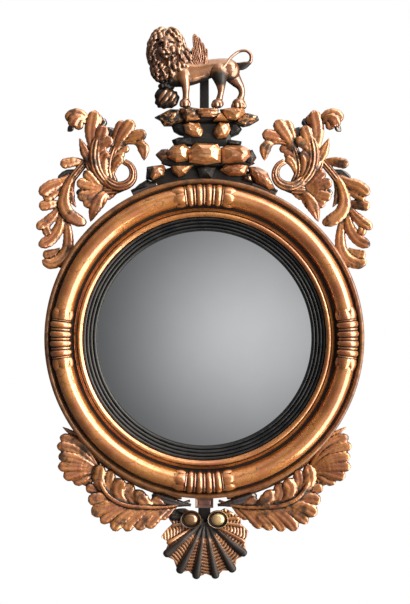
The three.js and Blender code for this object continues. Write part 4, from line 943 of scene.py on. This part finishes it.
def limb(stations, sides=20):
    """A tapering limb: stations are x, depth, z, half its width, half its depth, in mm."""
    length = np.linalg.norm(np.diff(np.array(stations, float)[:, :3], axis=0), axis=1).sum()
    line, _ = curve_through(stations, max(8, int(length / 2.5)))
    way = np.gradient(line[:, :3], axis=0)
    way /= np.maximum(np.linalg.norm(way, axis=1), 1e-9)[:, None]
    rings = []
    for i, (x, depth, z, half, deep) in enumerate(line):
        out = np.array([way[i][2], 0, -way[i][0]])
        size = np.linalg.norm(out)
        out = out / size if size > 0.2 else np.array([1.0, 0, 0])
        over = np.cross(way[i], out)
        over /= np.linalg.norm(over)
        from_end = min(i, len(line) - 1 - i)
        rounding = math.sqrt(max(0.0, 1 - (1 - min(1, (from_end + 0.35) / 3)) ** 2))
        ring = []
        for turn in math.tau * np.arange(sides) / sides:
            p = np.array([x, depth, z])
            p = p + out * half * rounding * math.cos(turn) + over * deep * rounding * math.sin(turn)
            ring.append((p[0], -p[1], p[2]))
        rings.append(ring)
    return rings


def mass(x, depth, z, wide, deep, high, turns=18, levels=13):
    """A rounded mass: an egg of rings about its middle, with half sizes in mm."""
    rings = []
    for level in np.linspace(-0.985, 0.985, levels):
        reach = math.sqrt(1 - level * level)
        rings.append([(x + wide * reach * math.cos(turn), -(depth + deep * reach * math.sin(turn)),
                       z + high * level) for turn in math.tau * np.arange(turns) / turns])
    return rings


# A limb is a row of stations: x, depth, z, half its width and half its depth.
lion_limbs = [
    # trunk from rump to chest
    [(60, 37, 504, 13, 13), (46, 38, 507, 19, 16), (30, 39, 509, 17.5, 15), (12, 40, 507, 17.5, 14.5),
     (-8, 40, 502, 20.5, 15.5), (-26, 41, 500, 25, 17), (-46, 42, 500, 28, 18), (-62, 42, 504, 26, 17)],
    # near foreleg, straight down to its paw
    [(-40, 49, 506, 15, 10), (-40, 53, 492, 13.5, 10), (-36, 54, 478, 9.5, 8.5), (-34.5, 54, 465, 7, 7),
     (-34.5, 54, 452, 6, 6.5), (-35, 54, 442, 8, 8)],
    # far foreleg, raised on the boulder
    [(-60, 34, 500, 15, 11), (-67, 34, 487, 12, 9), (-64, 35, 477, 10, 9), (-66, 38, 474, 8, 7),
     (-75, 41, 476, 7, 6.5), (-82, 43, 474, 6, 6)],
    # near hind leg
    [(26, 45, 508, 17, 12), (28, 48, 494, 16, 13), (30, 50, 482, 12, 11), (31, 50, 472, 8.5, 8),
     (31, 49, 462, 6, 6), (29, 49, 452, 6, 6.5), (27, 49, 444, 8, 8)],
    # far hind leg
    [(46, 34, 508, 17, 12), (52, 31, 496, 15, 11), (61, 30, 484, 11, 9), (68, 29, 475, 7.5, 7),
     (71, 29, 464, 6, 6), (69, 29, 455, 6.5, 6.5), (66, 30, 447, 9, 9)],
]
# A mass is its middle as x, depth and z, and half its width, depth and height.
mane_masses = [(-71, 36, 540, 33, 22, 44), (-60, 39, 508, 37, 20, 30), (-44, 41, 520, 24, 17, 24)]
lion_masses = mane_masses + [  # rump, shoulder and thigh, then each paw with its toes
    (48, 35, 504, 19, 17, 20), (-37, 45, 499, 18, 15, 20), (28, 46, 500, 16, 14, 17),
    (-36, 55, 439.5, 10.5, 11, 9), (-42, 61, 436, 4.5, 5, 5.5), (-35.5, 63, 436, 4.5, 5, 5.5),
    (-29.5, 61, 436, 4.5, 5, 5.5),
    (25, 51, 439.5, 11.5, 11, 9), (17, 56, 436, 4.6, 5, 5.5), (23, 59, 436, 4.6, 5, 5.5),
    (30, 58, 436, 4.6, 5, 5.5),
    (65, 31, 442, 13, 12, 11.5), (55, 36, 437, 5, 5.5, 6.5), (61, 40, 437, 5, 5.5, 6.5),
    (68.5, 40, 437, 5, 5.5, 6.5), (75, 36, 437.5, 4.5, 5.5, 6),
    (-83, 46, 473, 4, 4.5, 4.5), (-79, 50, 473, 4, 4.5, 4.5), (-73, 50, 474, 4, 4.5, 4.5),
]
face_masses = [  # skull, cheeks and muzzle, its two pads, nose and chin, and the eyes
    (-69, 50, 547, 18, 16, 21), (-80.5, 61, 537, 6, 6, 8), (-59, 61, 538, 6, 6, 8),
    (-71, 60, 532, 11, 9, 10),
    (-77, 68, 531.5, 5.4, 5.4, 4.6), (-68, 68, 531.5, 5.4, 5.4, 4.6), (-72.5, 71, 537.5, 4.8, 4, 3),
    (-72.5, 66, 523.5, 5.4, 5, 3.6),
    (-78.5, 64, 547, 2.6, 2.4, 2, 10, 7), (-65, 64.5, 547.5, 2.6, 2.4, 2, 10, 7),
]
face_limbs = [  # the bridge of the nose and the two brows
    [(-71, 64, 556, 5, 4.4), (-72, 68, 548, 4.4, 4), (-72.5, 71, 540, 4, 3)],
    [(-86, 59, 550, 2.6, 3), (-80, 65, 554, 3, 3.4), (-74, 66, 551, 2.4, 3)],
    [(-54, 59, 551, 2.6, 3), (-61, 65, 555, 3, 3.4), (-68, 66, 551, 2.4, 3)],
]
# Along a lock: the share of its length, its lift, its half width and how far its hook has turned.
lock_shape = ((0, 0, 0.8, 0), (0.3, 2.2, 1.0, 0.6), (0.65, 3, 0.85, 1), (1, 1, 0.3, 0))


def locks(seed, hidden, count, long, keep):
    """Hooked locks laid over a mass, combed outwards from the face and down."""
    draw = random.Random(seed)
    middle, size = np.array(hidden[:3], float), np.array(hidden[3:], float)
    golden_turn = 2.39996

    def on_mass(way, lift):
        return middle + (size + lift) * way / np.linalg.norm(way)

    made = []
    for k in range(count):
        rise = 1 - 2 * (k + 0.5) / count
        turn, level = k * golden_turn, math.sqrt(1 - rise * rise)
        way = np.array([level * math.cos(turn), level * math.sin(turn), rise])
        hook = draw.choice((-1, 1)) * draw.uniform(0.7, 1.2)
        wide = draw.uniform(2.6, 4.2)
        if not keep(*on_mass(way, 0)):
            continue
        flow = np.array([way[0] * 0.8, 0.15 * way[1], way[2] * 0.5 - 0.75])
        flow -= way * flow.dot(way)
        flow /= max(np.linalg.norm(flow), 1e-6)
        across = np.cross(way, flow)
        stations = []
        for share, lift, half, bend in lock_shape:
            at = on_mass(way + flow * share * long + across * hook * bend * 0.12, lift)
            stations.append((*at, wide * half, wide * half * 0.9))
        made.append(limb(stations, sides=8))
    return made


def off_the_face(x, depth, z):
    """Keeps the locks clear of the face."""
    return not (depth > 42 and -87 < x < -52 and 519 < z < 567)


mane = locks(21, mane_masses[0], 210, 0.44, off_the_face)
mane += locks(22, mane_masses[1], 130, 0.5, lambda x, depth, z: z < 522 and x < -26)
mane += locks(23, mane_masses[2], 70, 0.5, lambda x, depth, z: z > 500 and x > -58)
lion_parts = [limb(stations) for stations in lion_limbs + face_limbs] + mane
lion_parts += [mass(*sizes) for sizes in lion_masses + face_masses]
lion = fuse(skin("winged_lion_body", lion_parts), voxel=1.1, passes=12, spread=1.2)


def shade_below(piece, extra):
    """Paints shade on what faces the ground, and more where `extra` says, varied by a little cloudy noise."""
    clouds = np.array([noise.noise(Vector(place) * 95) for place in corners_of(piece)])
    ground = 0.36 + 0.4 * np.clip(0.35 * clouds - normals_of(piece)[:, 2], 0, 1)
    store(piece, "hollow", np.maximum(np.maximum(stored(piece, "hollow"), ground), extra + 0.1 * clouds))


# Painted shade on the near thigh and on the raised far paw.
lion_at = corners_of(lion) / MM
thigh = np.hypot((lion_at[:, 0] - 29) / 22, (lion_at[:, 2] - 486) / 22)
far_paw = np.hypot((lion_at[:, 0] + 66) / 30, (lion_at[:, 2] - 472) / 16)
shade_below(lion, 0.35 + 0.4 * np.maximum(np.clip(1.25 - thigh, 0, 1), np.clip(1.5 - 1.1 * far_paw, 0, 1)))
lion_gilding = gilding("lion_gilding", leaf=(0.37, 0.145, 0.045), bole=(0.12, 0.035, 0.016), ridge_highlight=0.5,
                       patina=0.4, worn=0.6, back_shade=(8, 22))
dress(lion, lion_gilding, "lion")

# The tail lies over the near flank and curls behind the rump to a tuft of three locks.
tail_stations = [
    (18, 55, 499, 3.4), (29, 56, 502, 3.2), (40, 52, 512, 3), (50, 44, 527, 2.8), (64, 38, 539, 2.7),
    (78, 37, 541.5, 2.8), (87, 37, 534, 3), (87, 37, 522, 3.6), (79, 37, 515, 4.6), (66, 37, 510, 3.6),
]
tail_limbs = [[(*station, station[3]) for station in tail_stations]]
for lift in (-4, 0, 4):
    tail_limbs.append([(84, 37 + lift / 3, 517 + lift / 2, 3, 3), (73, 37, 513 + lift, 3.6, 3.4),
                       (64, 37, 512 + lift * 1.2, 2.6, 2.4), (57, 37, 513 + lift * 1.4, 0.9, 0.9)])
tail = fuse(skin("lion_tail_carving", [limb(stations, 14) for stations in tail_limbs]), voxel=1.0, passes=8)
# Painted shade on the tuft behind the rump.
tail_at = corners_of(tail) / MM
shade_below(tail, 0.82 * np.clip((524 - tail_at[:, 2]) / 8, 0, 1) * (tail_at[:, 0] > 55))
dress(tail, lion_gilding, "lion_tail")

wing_feathers = [  # foot, middle and tip of each feather, and its half width
    [(-3, 504), (-14, 538), (-18.5, 571), 5.2], [(-2, 505), (-8, 538), (-12, 565), 5.4],
    [(-1, 506), (-3, 534), (-5, 555), 5.2], [(0, 506), (2, 528), (2, 544), 4.8],
    [(0, 507), (3, 520), (3, 531), 4], [(-5, 504), (-16, 522), (-21, 545), 4.8],
    [(-5, 504), (-18, 515), (-26, 529), 4.6], [(-5, 504), (-17, 509), (-27, 516), 4.2],
]
feather_thickness, feather_lap = 2.2, 0.42
wing_gilding = gilding("wing_gilding", leaf=(0.5, 0.19, 0.055), ridge_highlight=0.5, patina=0.35, worn=0.6,
                       back_shade=(2, 6))
for depth, name, node in ((50.1, "wing_near_feathers", "lion_wing_near"),
                          (23.1, "wing_far_feathers", "lion_wing_far")):
    blades = []
    for number, (foot, middle, tip, half) in enumerate(wing_feathers):
        level = depth + feather_lap * number
        blades.append(leaf_lobe([foot, middle, tip], half * 0.6, half, (level - 0.6, level, level - 0.8), 0,
                                thick=feather_thickness, stem=True))
    dress(fuse(skin(name, blades), voxel=0.6, passes=9, spread=0.6), wing_gilding, node)

boulder_masses = [
    (-73, 36, 453, 21.5, 21, 21.5, 28, 19), (-62, 37, 451, 16, 20.5, 18), (-80, 36, 447, 14, 18, 15),
]
band_spacing, band_depth = 9.5, 0.9
boulder = fuse(skin("banded_boulder", [mass(*sizes) for sizes in boulder_masses]), voxel=1.2, passes=10)
boulder_at = corners_of(boulder) / MM
slant = boulder_at[:, 0] * 0.75 - boulder_at[:, 2] * 0.55 + boulder_at[:, 1] * 0.2
wave = np.sin(math.tau * slant / band_spacing)
set_corners(boulder, (boulder_at + normals_of(boulder) * ((wave - 1) * band_depth)[:, None]) * MM)
# Painted shade in the band grooves and round the boulder's rim.
from_middle = np.hypot(boulder_at[:, 0] + 68, (boulder_at[:, 2] - 449) * 1.1)
shade_below(boulder, np.maximum(0.5 - 0.32 * wave, 0.85 * np.clip((from_middle - 10) / 10, 0, 1)))
dress(boulder, lion_gilding, "lion_boulder")


# ---------- shell pendant ----------
# A scallop shell hangs under the ring: wide gilt hollows cut with cross ribs, between
# proud dark ridges that end in rounded lobes, and small side lobes at the top.
shell_middle = (1, -344)
rib_height, rib_spacing = 0.75, 6.2
shell_start, shell_end, shell_hub = 150, 390, 0.04
rim_back, hinge_back = 18, 16
shell_rim = [  # outline as an angle in degrees and a length in mm, lobes and notches in turn
    (150, 44), (160, 60), (174, 71), (187, 62), (200, 88), (210, 78), (220, 100), (231, 93),
    (243, 108), (252, 99), (261, 109), (271, 100), (281, 109), (290, 99), (300, 109), (310, 93),
    (321, 99), (333, 84), (346, 85), (354, 68), (362, 69), (376, 54), (390, 44),
]
shell_ridges = [  # angle, length and half width
    (220, 102, 8), (243, 111.5, 8.4), (261, 112.5, 8.4), (281, 112.5, 8.4), (300, 112, 8.4), (321, 102, 8),
]
side_ridges = [  # the small lobes at the top, and the ridges beside the big ones
    (189, 66, 3.2), (210, 84, 4), (174, 68, 5), (160, 56, 4), (333, 86, 4), (352, 72, 3.4), (4, 66, 3.6),
    (16, 54, 3.4),
]


def shell_point(degrees, reach, depth):
    """A point of the shell, as x, y, z in mm."""
    return (shell_middle[0] + reach * math.cos(math.radians(degrees)), -depth,
            shell_middle[1] + reach * math.sin(math.radians(degrees)))


def shell_face(z):
    """Depth of the shell's hollows: low under the medallions, full below, and back at the rim."""
    full = min(1, max(0, (-354 - z) / 30))
    rim = min(1, max(0, (-405 - z) / 50))
    return 27 + 12 * full * full * (3 - 2 * full) - 9 * rim * rim


shell_rings = []
for degrees in np.linspace(shell_start, shell_end, 200):
    reach = np.interp(degrees, *zip(*shell_rim))
    ring = []
    for share in np.linspace(shell_hub, 1, 60):
        wander = 2.5 * math.sin(degrees / 5)
        rib = rib_height * math.sin(math.tau * (reach * share + wander) / rib_spacing)
        x, _, z = shell_point(degrees, reach * share, 0)
        ring.append((x, -shell_face(z) - rib * max(0, min(1, share * 2 - 0.4)), z))
    ring.append(shell_point(degrees, reach * 0.97, rim_back))
    ring.append(shell_point(degrees, reach * shell_hub, hinge_back))
    shell_rings.append(ring)
ridge_bars = []
for degrees, reach, half in shell_ridges + side_ridges:
    stations = []
    for share in np.linspace(0.08, 1, 9):
        width = 1.6 + (half - 1.6) * share ** 1.2
        x, _, z = shell_point(degrees, (reach - half * 0.3) * share, 0)
        stations.append((x, shell_face(z) + 0.36 * width - 1, z, width, width * 0.85))
    ridge_bars.append(limb(stations, 16))
shell = fuse(skin("shell_pendant_carving", [shell_rings] + ridge_bars), voxel=1.15, spread=1.1)
shell_at = corners_of(shell) / MM - [shell_middle[0], 0, shell_middle[1]]
dark_side_lobes = [(174, 68, 9), (160, 56, 9)]
shell_marks = stored(shell, "hollow")
for degrees, reach, half in shell_ridges + dark_side_lobes:
    way = np.array([math.cos(math.radians(degrees)), math.sin(math.radians(degrees))])
    along = shell_at[:, 0] * way[0] + shell_at[:, 2] * way[1]
    aside = np.abs(shell_at[:, 0] * way[1] - shell_at[:, 2] * way[0])
    width = 1.2 + (half - 0.6) * np.clip(along / reach, 0, 1) ** 1.2
    shell_marks = np.maximum(shell_marks, 0.88 * np.clip((width - aside) / 1.2, 0, 1) * (along > 0))
near_hinge = np.hypot(shell_at[:, 0], shell_at[:, 2])
shell_marks = np.maximum(shell_marks, 0.9 * np.clip((42 - near_hinge) / 16, 0, 1))
store(shell, "hollow", shell_marks)
shell_gilding = gilding("shell_gilding", leaf=(0.6, 0.24, 0.065), bole=(0.14, 0.03, 0.018),
                        wax_and_shade=(0.014, 0.008, 0.007), ridge_highlight=0.9, patina=0.3, worn=0.7)
dress(shell, shell_gilding, "shell_pendant")


# ---------- medallions ----------
# Two small oval bosses, turned and then cut oval, sit over the shell's hinge: a dull
# rim, a fine groove and a gilt dome. The right one is finished paler and brighter than the left.
medallion_profile = [
    (0.4, 39.8), (3, 39.6), (6, 39), (8.6, 37.9), (10.4, 36.4), (11.2, 35), (12, 34.4), (12.6, 35.4),
    (13.2, 36.2), (13.8, 35.8), (14.2, 35.2), (14.8, 37.4), (15.8, 38.2), (16.6, 37.2), (17, 35),
    (16.6, 30.4), (0.4, 30.4),
]
medallion_turned, medallion_half, medallion_side, medallion_height = 17, 20, 25.5, -341
dull_medallion = gilding("dull_medallion", leaf=(0.4, 0.2, 0.05), bole=(0.12, 0.05, 0.03), patina=0.3,
                         worn=0.7, back_shade=(2, 6))
bright_medallion = gilding("bright_medallion", leaf=(0.8, 0.52, 0.22), bole=(0.2, 0.09, 0.05), worn=0.35,
                           back_shade=(2, 6))
for side, name, node, finish in ((-1, "medallion_dull", "medallion_left", dull_medallion),
                                 (1, "medallion_bright", "medallion_right", bright_medallion)):
    medallion = spun(name, medallion_profile + [medallion_profile[0]], steps=64)
    medallion_at = corners_of(medallion) / MM
    reach = np.hypot(medallion_at[:, 0], medallion_at[:, 2])
    store(medallion, "hollow", np.where(reach > 11.2, 0.74 - 0.2 * (np.abs(reach - 15.8) < 1), 0.38))
    medallion_at[:, 0] = medallion_at[:, 0] * medallion_half / medallion_turned + side * medallion_side
    medallion_at[:, 2] += medallion_height
    set_corners(medallion, medallion_at * MM)
    dress(medallion, finish, node)


# ---------- tab and batten ----------
# A pine batten runs up the back and carries the crest and the shell. It is stained
# black; the tab that hides it under the ring is stained brown and waxed.


def timber(name, pale, dark, along=(1, 1, 0.06), scale=160, rough=0.5, sheen=0.3):
    """Wood grain that runs along the piece, under stain or left bare."""
    material, tree = blank(name)
    at = add(tree, "ShaderNodeTexCoord").outputs["Object"]
    run = add(tree, "ShaderNodeMapping", {"Vector": at, "Scale": along}).outputs[0]
    grain = add(tree, "ShaderNodeTexNoise", {
        "Vector": run, "Scale": scale, "Detail": 6, "Roughness": 0.65, "Distortion": 0.4}).outputs[0]
    colour = tint(tree, fade(tree, grain, 0.36, 0.62), (*dark, 1), (*pale, 1))
    stains = fade(tree, cloud(tree, at, 11, 4), 0.5, 0.72, 0, 0.5)
    return finished(material, {
        "Base Color": tint(tree, stains, colour, (*(c * 0.5 for c in dark), 1)),
        "Roughness": fade(tree, grain, 0.3, 0.7, rough + 0.12, rough),
        "Coat Weight": sheen, "Coat Roughness": 0.3},
        plus(tree, grain, times(tree, cloud(tree, run, scale * 5), 0.4)), 0.4, 0.4)


def set_finish(finish, node):
    """Gives a solid that keeps its shape its real finish."""
    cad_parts[node].data.materials.clear()
    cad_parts[node].data.materials.append(finish)


set_finish(timber("black_stained_batten", (0.016, 0.014, 0.013), (0.005, 0.005, 0.005)), "spine_batten")
panel_inset, panel_depth, step_inset, step_rise, tab_bevel = 5, 2.2, 1.4, 0.9, 1.6
tab_low, tab_high = (np.array(corner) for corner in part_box("apron_tab"))
bpy.ops.object.select_all(action="DESELECT")
bpy.ops.mesh.primitive_cube_add(size=1, location=(0, 0, 0))
tab = bpy.context.object
tab.name = tab.data.name = "apron_tab_block"
set_corners(tab, tab_low + (corners_of(tab) + 0.5) * (tab_high - tab_low))
edit(tab)
bpy.ops.mesh.select_all(action="DESELECT")
bpy.ops.object.mode_set(mode="OBJECT")
for face in tab.data.polygons:
    face.select = face.normal.y < -0.9
bpy.ops.object.mode_set(mode="EDIT")
bpy.ops.mesh.inset(thickness=panel_inset * MM, depth=-panel_depth * MM)
bpy.ops.mesh.inset(thickness=step_inset * MM, depth=step_rise * MM)
bpy.ops.object.mode_set(mode="OBJECT")
tab_edges = tab.modifiers.new("edges", "BEVEL")
tab_edges.width = tab_bevel * MM
tab_edges.segments = 3
bpy.ops.object.modifier_apply(modifier=tab_edges.name)
brown_stain = timber("brown_stained_tab", (0.2, 0.085, 0.06), (0.07, 0.028, 0.022), (1, 1, 0.1), 90, 0.3, 0.6)
dress(tab, brown_stain, "apron_tab", slot="stained_batten")


# ---------- backboard and cushion ----------
# Behind the glass lie a felt ring and a round board of bare pine, brown with age,
# which the turn buttons hold in the ring's rebate.
bare_pine = timber("bare_pine", (0.42, 0.25, 0.12), (0.24, 0.125, 0.055), (0.05, 1, 1), 120, 0.62, 0.0)
set_finish(bare_pine, "backboard")


def felted(name, colour):
    """Pressed felt: a fine matted pile with a faint sheen."""
    material, tree = blank(name)
    at = add(tree, "ShaderNodeTexCoord").outputs["Object"]
    worn = fade(tree, cloud(tree, at, 60, 3), 0.35, 0.65)
    return finished(material, {
        "Base Color": tint(tree, worn, (*(c * 0.7 for c in colour), 1), (*colour, 1)), "Roughness": 0.95,
        "Sheen Weight": 0.3, "Sheen Roughness": 0.5}, cloud(tree, at, 900, 3, 0.7), 0.6, 0.6)


def struck(name, colour, tarnish, rough=0.3):
    """Old metal fittings: bright where they are handled, tarnished elsewhere."""
    material, tree = blank(name)
    at = add(tree, "ShaderNodeTexCoord").outputs["Object"]
    shade = fade(tree, cloud(tree, at, 140, 5, 0.6), 0.42, 0.66)
    return finished(material, {
        "Base Color": tint(tree, shade, (*colour, 1), (*tarnish, 1)), "Metallic": 1.0,
        "Roughness": plus(tree, times(tree, shade, 0.2), rough)}, cloud(tree, at, 1260), 0.25, 0.2)


grey_felt = felted("grey_felt", (0.16, 0.15, 0.14))
old_brass = struck("old_brass", (0.78, 0.55, 0.24), (0.36, 0.22, 0.09))
screw_steel = struck("screw_steel", (0.52, 0.51, 0.5), (0.2, 0.17, 0.15), 0.34)


# ---------- fittings at the back ----------
# Brass turn buttons, hanging straps and D-rings, steel screws, and felt pads that
# keep the frame off the wall.
for name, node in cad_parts.items():
    if not node.hide_render and name not in ("spine_batten", "backboard"):
        felt = "pad" in name or "cushion" in name
        set_finish(grey_felt if felt else screw_steel if "screw" in name else old_brass, name)
